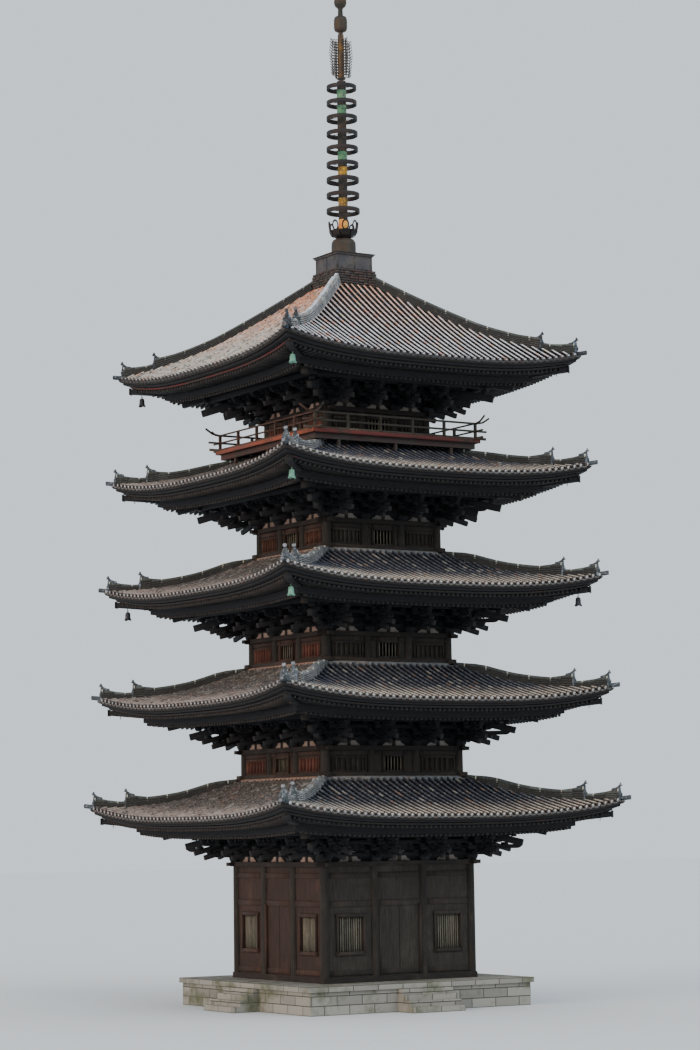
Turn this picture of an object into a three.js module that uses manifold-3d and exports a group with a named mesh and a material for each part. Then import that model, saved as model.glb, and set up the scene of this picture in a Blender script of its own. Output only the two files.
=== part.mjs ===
// Five-storey wooden pagoda: a hollow tower of separate sub-parts, with swinging wind bells.
// Lengths are millimetres of the full-size building. +Z is up, the ground is z = 0 and the
// tower's centre line is the Z axis. The whole group is scaled to the 1:2 model at the end.
import * as THREE from 'three';
import { mergeVertices } from 'three/addons/utils/BufferGeometryUtils.js';
import { LoftGeometry } from 'three/addons/geometries/LoftGeometry.js';
import Module from 'manifold-3d';

const wasm = await Module();
wasm.setup();

// Driving dimensions
const MODEL_SCALE = 1 / 2;
const TOUCH = 0.6; // gap left between pieces that touch, 0.3 in the model
const SINK = 60; // how far fused shapes reach into each other
const STOREYS = [1, 2, 3, 4, 5];
const TOP_STOREY = 5;

const BODY_HALF = { ground: 3945, step: -293 }; // outside of the posts, to the centre line
const EAVE_HALF = { ground: 8700, step: -262 }; // tile tip at the corners
const EAVE_TIP = { ground: 8815, step: 4935 }; // height of the tile edge at the corners
const PLATE = { ground: 6240, step: 4990 }; // height of the top plate's middle

const EAVE_RISE = 650; // how much higher the corners are than the middle of a side
const EAVE_FLARE = 150; // how much further out the corners are
const CURL_START = 1400; // how far out from the wall the corners begin to rise
const CURL_POWER = 1.5; // the rise grows slowly at first
const ROOF_SAG = 0.38; // share of a roof's rise that grows with the square of the distance
const TOP_ROOF_SAG = 0.2;
const ROOF_TO_PLATE = 1360; // from a roof's top edge up to the plate of the storey above
const BALCONY_STOREY = 5; // its deck lowers the top edge of the roof below
const ROOF_TO_BALCONY_PLATE = 1450;

const PODIUM = { half: 5600, height: 1200, coping: 220, lip: 120 };
const STEPS = { width: 2600, count: 4, run: 320 };

const POST_RADIUS = 190;
const PLATE_SIZE = { thick: 200, over: 40, depth: 480, tongue: 280, thin: 20 };
const SILL = { height: 250, depth: 420, belowPlate: 1060 };
const WALL = { recess: 150, inner: 420 };
const FLOOR = { thick: 80, hole: 420 };

const UPPER_WINDOW = { half: 500, below: 1000, height: 660 };
const GROUND_WINDOW = { half: 620, bottom: 2500, height: 1500 };
const DOOR = { half: 1000, bottom: 1500, height: 2900, thick: 90, groove: 40 };

const PURLIN = { out: 1750, size: 220 }; // the beam under the rafters, out from the wall
const ARM = { width: 220, foot: 160, heel: 0.2, tip: 120, tailShow: 900 };
const CORE = { recess: 60, depth: 320 }; // the wall band between plate and rafters
const TAIL = { reach: 0.627, drop: 1780, width: 240, depth: 310, slope: 0.25 };

const RAFTER_SLOPE = 0.3;
const BASE_RAFTER = { inset: 1550, drop: 800, over: 400, hidden: 560, thick: 250 };
const FLYING_RAFTER = { inset: 470, drop: 440 };
const FASCIA_INSET = 420;
const ROOF_FRAME = { outer: 250, inner: 420, topDepth: 400 };
const HIP_RAFTER = { inset: 600, top: 480, drop: 690, fall: 200, width: 280 };
const BASE_HIP = { reach: 0.714, top: 1100, drop: 1485 };

const ROOF_BREAKS = [0, 0.33, 0.67, 1]; // where its facets bend, from the eave to the wall
const TILE_CROWN = 60; // roof surface above the tile edge
const ROOF_THICK = { edge: 120, fascia: 220, body: 320 };
const RIDGE = { width: 400, start: 40, end: 1850, endRun: 900 };
const RIDGE_TOP = { lower: { height: 430, endRise: 180 }, top: { height: 460, endRise: 60 } };
const RIDGE_AT_WALL = { open: { height: 150, run: 1200 }, underDeck: { height: 50, run: 4400 } };
const LOW_RIDGE = { height: 300, endRise: 170, end: 310 };
const HORN = { back: 200, past: 110, rise: 240 }; // the spike over each ridge end

const ROOF_COURSES = { half: 1180, top: 32940 }; // the stack of flat tiles under the finial
const TOP_ROOF_EDGE = { half: 1100, height: 32100 }; // where the top roof meets the courses

const DECK = { half: 4330, bottom: 24880, thick: 100 };
const DECK_BEAM = { outer: 4180, inner: 3980, height: 300 };
const DECK_STRUT = { width: 140 };
const RAILING = { half: 4200, bays: 5, post: 110, middle: 400, height: 750 };
const RAIL = { thick: 80, crossing: 64, middlePast: 600 }; // crossing rails are thinner
const RAIL_END = { bendPast: 400, bendRise: 60, past: 750, rise: 270 }; // the top rail curls up

const PILLAR = { radius: 300, shaftTop: 32900, tenonRadius: 150, top: 41900 };
const BASIN = { half: 924, bottom: 32940, top: 33640, slabHalf: 990, slab: 70, wall: 70 };
const HUB_RADIUS = 215;
const BOWL = { radius: 560, shoulder: 420, neck: 280, wall: 500, shoulderDrop: 70, top: 34550 };
const LOTUS = { radius: 700, foot: 330, rim: 520, dish: 220, wall: 50, top: 35300 };
const RINGS = { first: 35810, last: 41580, count: 9, low: 1530, high: 1376, band: 220, wall: 90, spoke: 70 };
const FLAME = { bottom: 42000, top: 43980, half: 585, thick: 60, dip: 250 };
const FLAME_EDGE = [[0.55, 20], [0.9, 350], [1, 1000], [0.92, 1830], [0.55, 1980]]; // half shares, heights
const FLAME_ROD = { radius: 140, past: 100, foot: 80 };
const BARREL = { radius: 305, end: 260, shoulder: 150, bottom: 44240, top: 44960 };
const JEWEL = { rod: 110, radius: 290, middle: 45670, tip: 46000 };
const JEWEL_EDGE = [[0.8, -200], [1, 0], [0.6, 200]]; // radius shares, heights from the middle

const BELL = { inset: 1150, pinDrop: 850, pin: 12 };
const BELL_EYE = { hole: 13.2, half: 32, top: 34, thick: 30, sunk: 15 };
const BELL_BODY = { crown: 70, shoulder: 108, shoulderDrop: 112, mouth: 168, height: 395, wall: 16 };
const HOOK = { gap: 20, leg: 30, pinPast: 20 }; // the leg stands beside the bell's eye

// Facets
const RING_STATIONS = [-1, -0.72, 0, 0.72]; // along each side of a curved ring, corner first
const POST_SIDES = 6;
const BELL_SIDES = 6;
const PIN_SIDES = 4;
const FINIAL_SIDES = 8;
const RING_SIDES = 8;

const TIMBER = { color: 0x3a302a, roughness: 0.85, metalness: 0 };
const WEATHERED = { color: 0x5b4234, roughness: 0.9, metalness: 0 };
const PLASTER = { color: 0x4a3d35, roughness: 0.9, metalness: 0 };
const TILE = { color: 0x6d7480, roughness: 0.75, metalness: 0.05 };
const STONE = { color: 0x8d8a82, roughness: 0.95, metalness: 0 };
const BRONZE = { color: 0x4d5148, roughness: 0.6, metalness: 0.7 };
const VERDIGRIS = { color: 0x7fa08a, roughness: 0.7, metalness: 0.4 };

// Solids: a closed three.js geometry becomes a solid that can be joined or cut
function solid(geometry) {
  const bare = new THREE.BufferGeometry().copy(geometry);
  bare.deleteAttribute('normal');
  bare.deleteAttribute('uv');
  const merged = mergeVertices(bare, 1e-3);
  const points = merged.attributes.position.array;
  const index = merged.index.array;
  const triangles = [];
  for (let i = 0; i < index.length; i += 3) {
    const [a, b, c] = [index[i], index[i + 1], index[i + 2]];
    if (a !== b && b !== c && c !== a) {
      triangles.push([a, b, c]);
    }
  }
  const build = (faces) => new wasm.Manifold(new wasm.Mesh({
    numProp: 3,
    vertProperties: new Float32Array(points),
    triVerts: new Uint32Array(faces.flat()),
  }));
  const whole = build(triangles);
  return whole.volume() > 0 ? whole : build(triangles.map(([a, b, c]) => [a, c, b]));
}

function join(solids) {
  return solids.reduce((whole, next) => whole.add(next));
}

function cut(whole, tools) {
  return tools.reduce((rest, tool) => rest.subtract(tool), whole);
}

function meshOf(name, whole, look) {
  const data = whole.getMesh();
  const geometry = new THREE.BufferGeometry();
  geometry.setAttribute('position', new THREE.BufferAttribute(new Float32Array(data.vertProperties), 3));
  geometry.setIndex(new THREE.BufferAttribute(new Uint32Array(data.triVerts), 1));
  geometry.computeVertexNormals();
  const mesh = new THREE.Mesh(geometry, new THREE.MeshStandardMaterial(look));
  mesh.name = name;
  return mesh;
}

// Simple shapes
function box(low, high) {
  const size = high.map((value, axis) => value - low[axis]);
  const middle = high.map((value, axis) => (value + low[axis]) / 2);
  return solid(new THREE.BoxGeometry(...size).translate(...middle));
}

// A block standing on a square of the given half width
function block(half, bottom, top) {
  return box([-half, -half, bottom], [half, half, top]);
}

// A square ring with flat walls, from one lathe section turned in four steps
function squareRing(outer, inner, bottom, top) {
  const corners = [[inner, bottom], [outer, bottom], [outer, top], [inner, top], [inner, bottom]];
  const section = corners.map(([half, height]) => new THREE.Vector2(half * Math.SQRT2, height));
  const ring = new THREE.LatheGeometry(section, 4, Math.PI / 4);
  return solid(ring.rotateX(Math.PI / 2));
}

// A round solid from [radius, height] points that start and end on the axis, or close on themselves
function turned(points, sides) {
  const section = points.map(([radius, height]) => new THREE.Vector2(radius, height));
  const turnedShape = new THREE.LatheGeometry(section, sides, Math.PI / sides);
  return solid(turnedShape.rotateX(Math.PI / 2));
}

// A flat outline of [outward, up] points, given a width and standing along a direction
function upright(points, width, angle, holes = []) {
  const shape = new THREE.Shape(points.map(([out, up]) => new THREE.Vector2(out, up)));
  for (const hole of holes) {
    shape.holes.push(new THREE.Path(hole.map(([out, up]) => new THREE.Vector2(out, up))));
  }
  const plate = new THREE.ExtrudeGeometry(shape, { depth: width, bevelEnabled: false });
  plate.translate(0, 0, -width / 2).rotateX(Math.PI / 2).rotateZ(angle);
  return solid(plate);
}

function turnAround(whole, quarter) {
  return whole.rotate([0, 0, 90 * quarter]);
}

function onFourSides(make) {
  const first = make();
  return [0, 1, 2, 3].map((quarter) => turnAround(first, quarter));
}

// Sizes of one storey, and of the one above that stands on its roof
function storeySizes(k) {
  const level = (rule) => rule.ground + rule.step * (k - 1);
  const body = level(BODY_HALF);
  const eave = level(EAVE_HALF);
  const tip = level(EAVE_TIP);
  const plate = level(PLATE);
  const edge = tip - EAVE_RISE;
  const eaveMiddle = eave - EAVE_FLARE;
  const isTop = k === TOP_STOREY;
  const roofTopHalf = isTop ? TOP_ROOF_EDGE.half : body + BODY_HALF.step + TOUCH;
  const gap = k + 1 === BALCONY_STOREY ? ROOF_TO_BALCONY_PLATE : ROOF_TO_PLATE;
  const roofTopHeight = isTop ? TOP_ROOF_EDGE.height : plate + PLATE.step - gap;
  return {
    k,
    body,
    eave,
    tip,
    plate,
    edge,
    eaveMiddle,
    isTop,
    roofTopHalf,
    roofTopHeight,
    plateTop: plate + PLATE_SIZE.thick / 2,
    plateBottom: plate - PLATE_SIZE.thick / 2,
    tipRadius: eave * Math.SQRT2,
  };
}

// Share of the corner's rise at a half width: 0 where the curl starts, 1 at the tile edge
function curl(s, half) {
  const start = s.body + CURL_START;
  const share = (half - start) / (s.eaveMiddle - start);
  return Math.min(1, Math.max(0, share)) ** CURL_POWER;
}

// A point of a curved ring: half width and height in the middle of the side, moved along it by u
function curvedPoint(s, half, height, u) {
  const bend = Math.abs(u) ** 3 * curl(s, half);
  const out = half + EAVE_FLARE * bend;
  const along = u * (half + EAVE_FLARE * curl(s, half));
  return new THREE.Vector3(out, along, height + EAVE_RISE * bend);
}

// A square ring with curling corners, from a closed section of [half, height] points
function curvedRing(s, section) {
  const loops = [];
  for (let quarter = 0; quarter < 4; quarter += 1) {
    for (const u of RING_STATIONS) {
      const turn = new THREE.Matrix4().makeRotationZ((quarter * Math.PI) / 2);
      loops.push(section.map(([half, height]) => curvedPoint(s, half, height, u).applyMatrix4(turn)));
    }
  }
  loops.push(loops[0].map((point) => point.clone()));
  return solid(new LoftGeometry(loops));
}

// Roof surface at the middle of a side
function roofHeight(s, half) {
  const share = (s.eaveMiddle - half) / (s.eaveMiddle - s.roofTopHalf);
  const sag = s.isTop ? TOP_ROOF_SAG : ROOF_SAG;
  const rise = s.roofTopHeight - s.edge;
  return s.edge + rise * ((1 - sag) * share + sag * share * share);
}

// Half widths where the roof's faceted surface has its edges
function roofStations(s) {
  const span = s.eaveMiddle - s.roofTopHalf;
  return ROOF_BREAKS.map((share) => s.eaveMiddle - share * span);
}

// Height of the roof's faceted surface over a half width, on the line of u along the side
function surfaceHeight(s, half, u) {
  const stations = roofStations(s);
  const heights = stations.map((h) => roofHeight(s, h) + EAVE_RISE * curl(s, h) * Math.abs(u) ** 3);
  let i = 0;
  while (i < stations.length - 2 && half < stations[i + 1]) {
    i += 1;
  }
  const share = (stations[i] - half) / (stations[i] - stations[i + 1]);
  return heights[i] + share * (heights[i + 1] - heights[i]) + TILE_CROWN;
}

// Underside of the roof at the fascia and at the roof frame
function roofUnderside(s, half) {
  const thick = half > s.eaveMiddle - FASCIA_INSET - 1 ? ROOF_THICK.fascia : ROOF_THICK.body;
  return roofHeight(s, half) + TILE_CROWN - thick;
}

function roofFrameHalf(s) {
  return s.roofTopHalf + ROOF_FRAME.outer;
}

// Top of the roof frame, which carries the storey above
function roofFrameTop(s) {
  return roofUnderside(s, roofFrameHalf(s)) - TOUCH;
}

// Underside of the base rafters in the middle of a side
function rafterHeight(s, half) {
  return s.edge - BASE_RAFTER.drop + RAFTER_SLOPE * (s.eaveMiddle - BASE_RAFTER.inset - half);
}

function floorLevel(k) {
  return k === 1 ? PODIUM.height + TOUCH : roofFrameTop(storeySizes(k - 1)) + TOUCH;
}

function sillTopOf(s) {
  return s.k === 1 ? floorLevel(1) + SILL.height : s.plate - SILL.belowPlate;
}

// Podium: one mass of masonry with a flight of steps on each side
function podium() {
  const flight = () => join(Array.from({ length: STEPS.count }, (_, i) => {
    const reach = PODIUM.half + STEPS.run * (STEPS.count - i);
    const top = (PODIUM.height * (i + 1)) / (STEPS.count + 1);
    return box([PODIUM.half - SINK, -STEPS.width / 2, 0], [reach, STEPS.width / 2, top]);
  }));
  return join([
    block(PODIUM.half, 0, PODIUM.height),
    block(PODIUM.half + PODIUM.lip, PODIUM.height - PODIUM.coping, PODIUM.height),
    ...onFourSides(flight),
  ]);
}

// Frame of a storey: sill, posts, top plate with crossing ends, and an upper floor
function postPlaces(s) {
  const corner = s.body - POST_RADIUS;
  return [-1, -1 / 3, 1 / 3].map((share) => [corner, corner * share]);
}

function frame(s) {
  const bottom = floorLevel(s.k);
  const sillTop = sillTopOf(s);
  const [low, high] = [sillTop - SINK, s.plateBottom + SINK];
  const post = turned([[0, low], [POST_RADIUS, low], [POST_RADIUS, high], [0, high]], POST_SIDES);
  const posts = () => join(postPlaces(s).map(([x, y]) => post.translate([x, y, 0])));
  const plateOut = s.body + PLATE_SIZE.over;
  const plateEnds = () => box(
    [s.body - PLATE_SIZE.depth / 2 - SINK, -plateOut - PLATE_SIZE.tongue, s.plateBottom + PLATE_SIZE.thin],
    [s.body - SINK, plateOut + PLATE_SIZE.tongue, s.plateTop - PLATE_SIZE.thin],
  );
  const pieces = [
    squareRing(s.body, s.body - SILL.depth, bottom, sillTop),
    squareRing(plateOut, plateOut - PLATE_SIZE.depth, s.plateBottom, s.plateTop),
    ...onFourSides(posts),
    ...onFourSides(plateEnds),
  ];
  if (s.k > 1) {
    pieces.push(squareRing(s.body - SILL.depth + SINK, FLOOR.hole, bottom, bottom + FLOOR.thick));
  }
  return join(pieces);
}

// Walls of a storey: a hollow ring between sill and plate, grooved for the posts
function walls(s) {
  const bottom = sillTopOf(s) + TOUCH;
  const top = s.plateBottom - TOUCH;
  const outer = s.body - WALL.recess;
  const inner = s.body - WALL.inner;
  const fit = POST_RADIUS + TOUCH;
  const grooves = () => join(postPlaces(s).map(([x, y]) => box(
    [x - fit, y - fit, bottom - SINK],
    [x + fit, y + fit, top + SINK],
  )));
  const opening = (middle, half, low, high) => box(
    [inner - SINK, middle - half, low],
    [outer + SINK, middle + half, high],
  );
  const holes = () => {
    if (s.k > 1) {
      const low = s.plate - UPPER_WINDOW.below;
      return opening(0, UPPER_WINDOW.half, low, low + UPPER_WINDOW.height);
    }
    const side = (s.body - POST_RADIUS) * (2 / 3);
    const low = GROUND_WINDOW.bottom;
    return join([
      opening(0, DOOR.half, DOOR.bottom, DOOR.bottom + DOOR.height),
      opening(-side, GROUND_WINDOW.half, low, low + GROUND_WINDOW.height),
      opening(side, GROUND_WINDOW.half, low, low + GROUND_WINDOW.height),
    ]);
  };
  const ring = squareRing(outer, inner, bottom, top);
  return cut(ring, [...onFourSides(grooves), ...onFourSides(holes)]);
}

// A pair of closed door leaves with the meeting line between them, facing +X
function doorPair(s) {
  const face = s.body - WALL.recess - DOOR.thick;
  const half = DOOR.half - TOUCH;
  const plan = [[face, -half], [face + DOOR.thick, -half], [face + DOOR.thick, -DOOR.groove],
    [face + DOOR.thick - DOOR.groove, 0], [face + DOOR.thick, DOOR.groove],
    [face + DOOR.thick, half], [face, half]];
  const shape = new THREE.Shape(plan.map(([x, y]) => new THREE.Vector2(x, y)));
  const leaf = new THREE.ExtrudeGeometry(shape, { depth: DOOR.height - 2 * TOUCH, bevelEnabled: false });
  return solid(leaf.translate(0, 0, DOOR.bottom + TOUCH));
}

// Brackets of a storey: the wall band, the arms out to the purlin, and corner tail rafters
function bracketLevels(s) {
  const low = s.plateTop + TOUCH;
  const purlinOuter = s.body + PURLIN.out + PURLIN.size / 2;
  const purlinTop = rafterHeight(s, purlinOuter) - TOUCH;
  const purlinBottom = purlinTop - PURLIN.size;
  return { low, purlinOuter, purlinTop, purlinBottom };
}

function brackets(s) {
  const { low, purlinOuter, purlinTop, purlinBottom } = bracketLevels(s);
  const coreOuter = s.body - CORE.recess;
  const core = squareRing(coreOuter, coreOuter - CORE.depth, low, rafterHeight(s, coreOuter) - TOUCH);
  const purlin = squareRing(purlinOuter, purlinOuter - PURLIN.size, purlinBottom, purlinTop);
  const start = s.body - CORE.recess - CORE.depth / 2;
  const under = low + (purlinBottom - low) * ARM.heel;
  const armTop = rafterHeight(s, start) - SINK;
  const foot = s.body + ARM.foot;
  const arm = [[start, low], [foot, low], [foot, under], [purlinOuter - SINK, purlinBottom - ARM.tip],
    [purlinOuter - SINK, purlinBottom + SINK], [start, armTop]];
  const place = (s.body - POST_RADIUS) / 3;
  const sideArm = upright(arm, ARM.width, 0);
  const sideArms = () => join([sideArm.translate([0, -place, 0]), sideArm.translate([0, place, 0])]);
  const tailEnd = s.tipRadius * TAIL.reach;
  const tailTop = s.tip - TAIL.drop + TAIL.depth / 2;
  const cornerStart = start * Math.SQRT2;
  const cornerArm = [[cornerStart, low], [foot * Math.SQRT2, low], [foot * Math.SQRT2, under],
    [tailEnd - ARM.tailShow, tailTop - TAIL.depth + TAIL.slope * ARM.tailShow],
    [tailEnd, tailTop - TAIL.depth], [tailEnd, tailTop],
    [cornerStart, tailTop + TAIL.slope * (tailEnd - cornerStart)]];
  const corners = () => upright(cornerArm, TAIL.width, Math.PI / 4);
  return join([core, purlin, ...onFourSides(sideArms), ...onFourSides(corners)]);
}

// Eaves: rafter layers, the frame under the storey above, hip rafters and the bells' hooks
function bellPin(s) {
  return { radius: s.tipRadius - BELL.inset, height: s.tip - BELL.pinDrop };
}

function hook(s) {
  const pin = bellPin(s);
  const leg = box(
    [pin.radius - HOOK.leg / 2, HOOK.gap, pin.height - HOOK.leg / 2],
    [pin.radius + HOOK.leg / 2, HOOK.gap + HOOK.leg, s.tip - HIP_RAFTER.drop + SINK],
  );
  const pinEnd = HOOK.gap + HOOK.leg / 2;
  const rod = new THREE.CylinderGeometry(BELL.pin, BELL.pin, pinEnd + HOOK.pinPast, PIN_SIDES);
  rod.translate(pin.radius, (pinEnd - HOOK.pinPast) / 2, pin.height);
  return join([leg, solid(rod)]).rotate([0, 0, 45]);
}

function eaves(s) {
  const fascia = s.eaveMiddle - FASCIA_INSET;
  const baseEnd = s.eaveMiddle - BASE_RAFTER.inset;
  const frameHalf = roofFrameHalf(s);
  const frameInner = s.isTop ? frameHalf - ROOF_FRAME.topDepth : s.roofTopHalf - ROOF_FRAME.inner;
  const section = [
    [fascia, roofUnderside(s, fascia) - TOUCH],
    [baseEnd, s.edge - BASE_RAFTER.drop + BASE_RAFTER.hidden],
    [frameHalf, rafterHeight(s, frameHalf) + BASE_RAFTER.thick],
    [frameHalf, roofFrameTop(s)],
    [frameInner, roofFrameTop(s)],
    [frameInner, rafterHeight(s, frameInner)],
    [baseEnd, s.edge - BASE_RAFTER.drop],
    [baseEnd, s.edge - BASE_RAFTER.over],
    [s.eaveMiddle - FLYING_RAFTER.inset, s.edge - FLYING_RAFTER.drop],
  ];
  const shell = curvedRing(s, section);
  const hipEnd = s.tipRadius - HIP_RAFTER.inset;
  const hipStep = baseEnd * Math.SQRT2;
  const baseHipEnd = s.tipRadius * BASE_HIP.reach;
  const baseHipStart = (s.body + PURLIN.out + PURLIN.size) * Math.SQRT2;
  const baseRise = (RAFTER_SLOPE * (baseHipEnd - baseHipStart)) / Math.SQRT2;
  const hip = () => upright([
    [baseHipStart, s.tip - BASE_HIP.drop + baseRise],
    [baseHipEnd, s.tip - BASE_HIP.drop],
    [baseHipEnd, s.tip - BASE_HIP.top],
    [hipStep, s.tip - HIP_RAFTER.drop - HIP_RAFTER.fall],
    [hipEnd, s.tip - HIP_RAFTER.drop],
    [hipEnd, s.tip - HIP_RAFTER.top],
    [hipStep, s.tip - HIP_RAFTER.top - HIP_RAFTER.fall],
    [baseHipStart, s.tip - BASE_HIP.top + baseRise],
  ], HIP_RAFTER.width, Math.PI / 4);
  return join([shell, ...onFourSides(hip), ...onFourSides(() => hook(s))]);
}

// Roof: the tiled shell with a main and a lower ridge along each hip, both swept up at their ends
function hipRidge(s) {
  const surface = (radius) => surfaceHeight(s, radius / Math.SQRT2, 1);
  const inner = s.roofTopHalf * Math.SQRT2 + RIDGE.start;
  const mainEnd = s.tipRadius - RIDGE.end;
  const lowEnd = s.tipRadius - LOW_RIDGE.end;
  const crest = s.isTop ? RIDGE_TOP.top : RIDGE_TOP.lower;
  const wall = s.k + 1 === BALCONY_STOREY ? RIDGE_AT_WALL.underDeck : RIDGE_AT_WALL.open;
  const wallTop = s.isTop ? crest.height : wall.height;
  const sweep = (end, rise, radius) => rise * Math.max(0, 1 - (end - radius) / RIDGE.endRun);
  const mainTop = (radius) => {
    const share = Math.min(1, (radius - inner) / wall.run);
    const height = wallTop + (crest.height - wallTop) * share;
    return surface(radius) + height + sweep(mainEnd, crest.endRise, radius);
  };
  const lowTop = (radius) => surface(radius) + LOW_RIDGE.height + sweep(lowEnd, LOW_RIDGE.endRise, radius);
  const stations = roofStations(s).map((half) => half * Math.SQRT2);
  const between = (low, high, radii) => radii.filter((radius) => radius > low && radius < high)
    .sort((a, b) => a - b);
  const mainRadii = between(inner, mainEnd - HORN.back, [...stations, inner + wall.run, mainEnd - RIDGE.endRun]);
  const topLine = [
    ...[inner, ...mainRadii, mainEnd - HORN.back].map((radius) => [radius, mainTop(radius)]),
    [mainEnd + HORN.past, mainTop(mainEnd) + HORN.rise],
    ...[mainEnd + HORN.past, lowEnd - RIDGE.endRun, lowEnd - HORN.back].map((radius) => [radius, lowTop(radius)]),
    [lowEnd + HORN.past, lowTop(lowEnd) + HORN.rise],
  ];
  const bottomLine = [inner, ...between(inner, lowEnd, stations), lowEnd + HORN.past]
    .map((radius) => [radius, surface(radius) - SINK]);
  return upright([...bottomLine, ...topLine.reverse()], RIDGE.width, Math.PI / 4);
}

function roof(s) {
  const crown = (half) => roofHeight(s, half) + TILE_CROWN;
  const under = (half) => roofUnderside(s, half);
  const fascia = s.eaveMiddle - FASCIA_INSET;
  const stations = roofStations(s);
  const top = stations.map((half) => [half, crown(half)]);
  const between = stations.slice(1, -1).reverse();
  const bottom = [s.roofTopHalf, roofFrameHalf(s), ...between, fascia].map((half) => [half, under(half)]);
  const shell = curvedRing(s, [...top, ...bottom, [s.eaveMiddle, crown(s.eaveMiddle) - ROOF_THICK.edge]]);
  const pieces = [shell, ...onFourSides(() => hipRidge(s))];
  if (s.isTop) {
    const hole = PILLAR.radius + SINK;
    pieces.push(squareRing(ROOF_COURSES.half, hole, TOP_ROOF_EDGE.height - SINK, ROOF_COURSES.top));
  }
  return join(pieces);
}

// Balcony round the fifth storey, over the fourth roof
function balconyDeck(s, roofBelow) {
  const top = DECK.bottom + DECK.thick;
  const beamBottom = DECK.bottom - DECK_BEAM.height;
  const strutHalf = DECK_STRUT.width / 2;
  const middle = (DECK_BEAM.outer + DECK_BEAM.inner) / 2;
  const struts = () => join(RING_STATIONS.filter((u) => u > -1).map((u) => box(
    [middle - strutHalf, u * middle - strutHalf, surfaceHeight(roofBelow, middle - strutHalf, u) + TOUCH],
    [middle + strutHalf, u * middle + strutHalf, beamBottom + SINK],
  )));
  return join([
    squareRing(DECK.half, s.body + TOUCH, DECK.bottom, top),
    squareRing(DECK_BEAM.outer, DECK_BEAM.inner, beamBottom, DECK.bottom + SINK / 2),
    ...onFourSides(struts),
  ]);
}

function balconyRailing() {
  const floor = DECK.bottom + DECK.thick + TOUCH;
  const r = RAILING;
  const middleReach = r.half + RAIL.middlePast;
  const middleRail = (size) => box(
    [r.half - size / 2, -middleReach, floor + r.middle - size / 2],
    [r.half + size / 2, middleReach, floor + r.middle + size / 2],
  );
  const curl = [[r.half + RAIL.thick, 0], [r.half + RAIL_END.bendPast, RAIL_END.bendRise],
    [r.half + RAIL_END.past, RAIL_END.rise]];
  const topLine = [...curl.map(([along, up]) => [-along, up]).reverse(), ...curl];
  const topRail = (size) => {
    const edge = (side) => topLine.map(([along, up]) => [along, floor + r.height + up + (side * size) / 2]);
    return upright([...edge(-1), ...edge(1).reverse()], size, Math.PI / 2).translate([r.half, 0, 0]);
  };
  const lapped = (rail) => [0, 1, 2, 3].map((quarter) => (
    turnAround(rail(quarter % 2 ? RAIL.thick : RAIL.crossing), quarter)
  ));
  const posts = () => join(Array.from({ length: r.bays }, (_, i) => {
    const along = -r.half + (2 * r.half * i) / r.bays;
    return box(
      [r.half - r.post / 2, along - r.post / 2, floor],
      [r.half + r.post / 2, along + r.post / 2, floor + r.height],
    );
  }));
  return join([...lapped(middleRail), ...lapped(topRail), ...onFourSides(posts)]);
}

// Central pillar: an eight-sided log with a round tenon that carries the finial
function centralPillar() {
  const p = PILLAR;
  return turned([[0, PODIUM.height + TOUCH], [p.radius, PODIUM.height + TOUCH], [p.radius, p.shaftTop],
    [p.tenonRadius, p.shaftTop], [p.tenonRadius, p.top], [0, p.top]], FINIAL_SIDES);
}

// Finial, from the basin up: each piece is bored for the pillar's tenon
const BORE = PILLAR.tenonRadius + TOUCH;

function finialBasin() {
  const b = BASIN;
  const shell = squareRing(b.half, b.half - b.wall, b.bottom + TOUCH, b.top);
  const slab = squareRing(b.slabHalf, BORE, b.top - SINK / 2, b.top + b.slab);
  return join([shell, slab]);
}

function finialBowl() {
  const bottom = BASIN.top + BASIN.slab + TOUCH;
  const r = BOWL.radius;
  return turned([[BORE, bottom], [r, bottom], [r, bottom + BOWL.wall],
    [BOWL.shoulder, BOWL.top - BOWL.shoulderDrop], [BOWL.neck, BOWL.top],
    [BORE, BOWL.top], [BORE, bottom]], FINIAL_SIDES);
}

function finialLotus() {
  const l = LOTUS;
  const bottom = BOWL.top + TOUCH;
  const dish = bottom + l.dish;
  return turned([[BORE, bottom], [l.foot, bottom], [l.rim, dish], [l.radius, l.top],
    [l.radius - l.wall, l.top], [l.rim - l.wall, dish + l.wall], [HUB_RADIUS, dish + l.wall],
    [HUB_RADIUS, l.top], [BORE, l.top], [BORE, bottom]], FINIAL_SIDES);
}

function finialRings() {
  const r = RINGS;
  const bottom = LOTUS.top + TOUCH;
  const hub = turned([[BORE, bottom], [HUB_RADIUS, bottom], [HUB_RADIUS, FLAME.bottom - TOUCH],
    [BORE, FLAME.bottom - TOUCH], [BORE, bottom]], FINIAL_SIDES);
  const pieces = [hub];
  for (let i = 0; i < r.count; i += 1) {
    const share = i / (r.count - 1);
    const height = r.first + (r.last - r.first) * share;
    const radius = (r.low + (r.high - r.low) * share) / 2;
    const [low, high] = [height - r.band / 2, height + r.band / 2];
    pieces.push(turned([[radius - r.wall, low], [radius, low], [radius, high],
      [radius - r.wall, high], [radius - r.wall, low]], RING_SIDES));
    const spoke = () => box(
      [HUB_RADIUS - SINK / 2, -r.spoke / 2, height - r.spoke / 2],
      [radius - r.wall / 2, r.spoke / 2, height + r.spoke / 2],
    );
    const turn = i % 2;
    pieces.push(turnAround(spoke(), turn), turnAround(spoke(), turn + 2));
  }
  return join(pieces);
}

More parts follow.
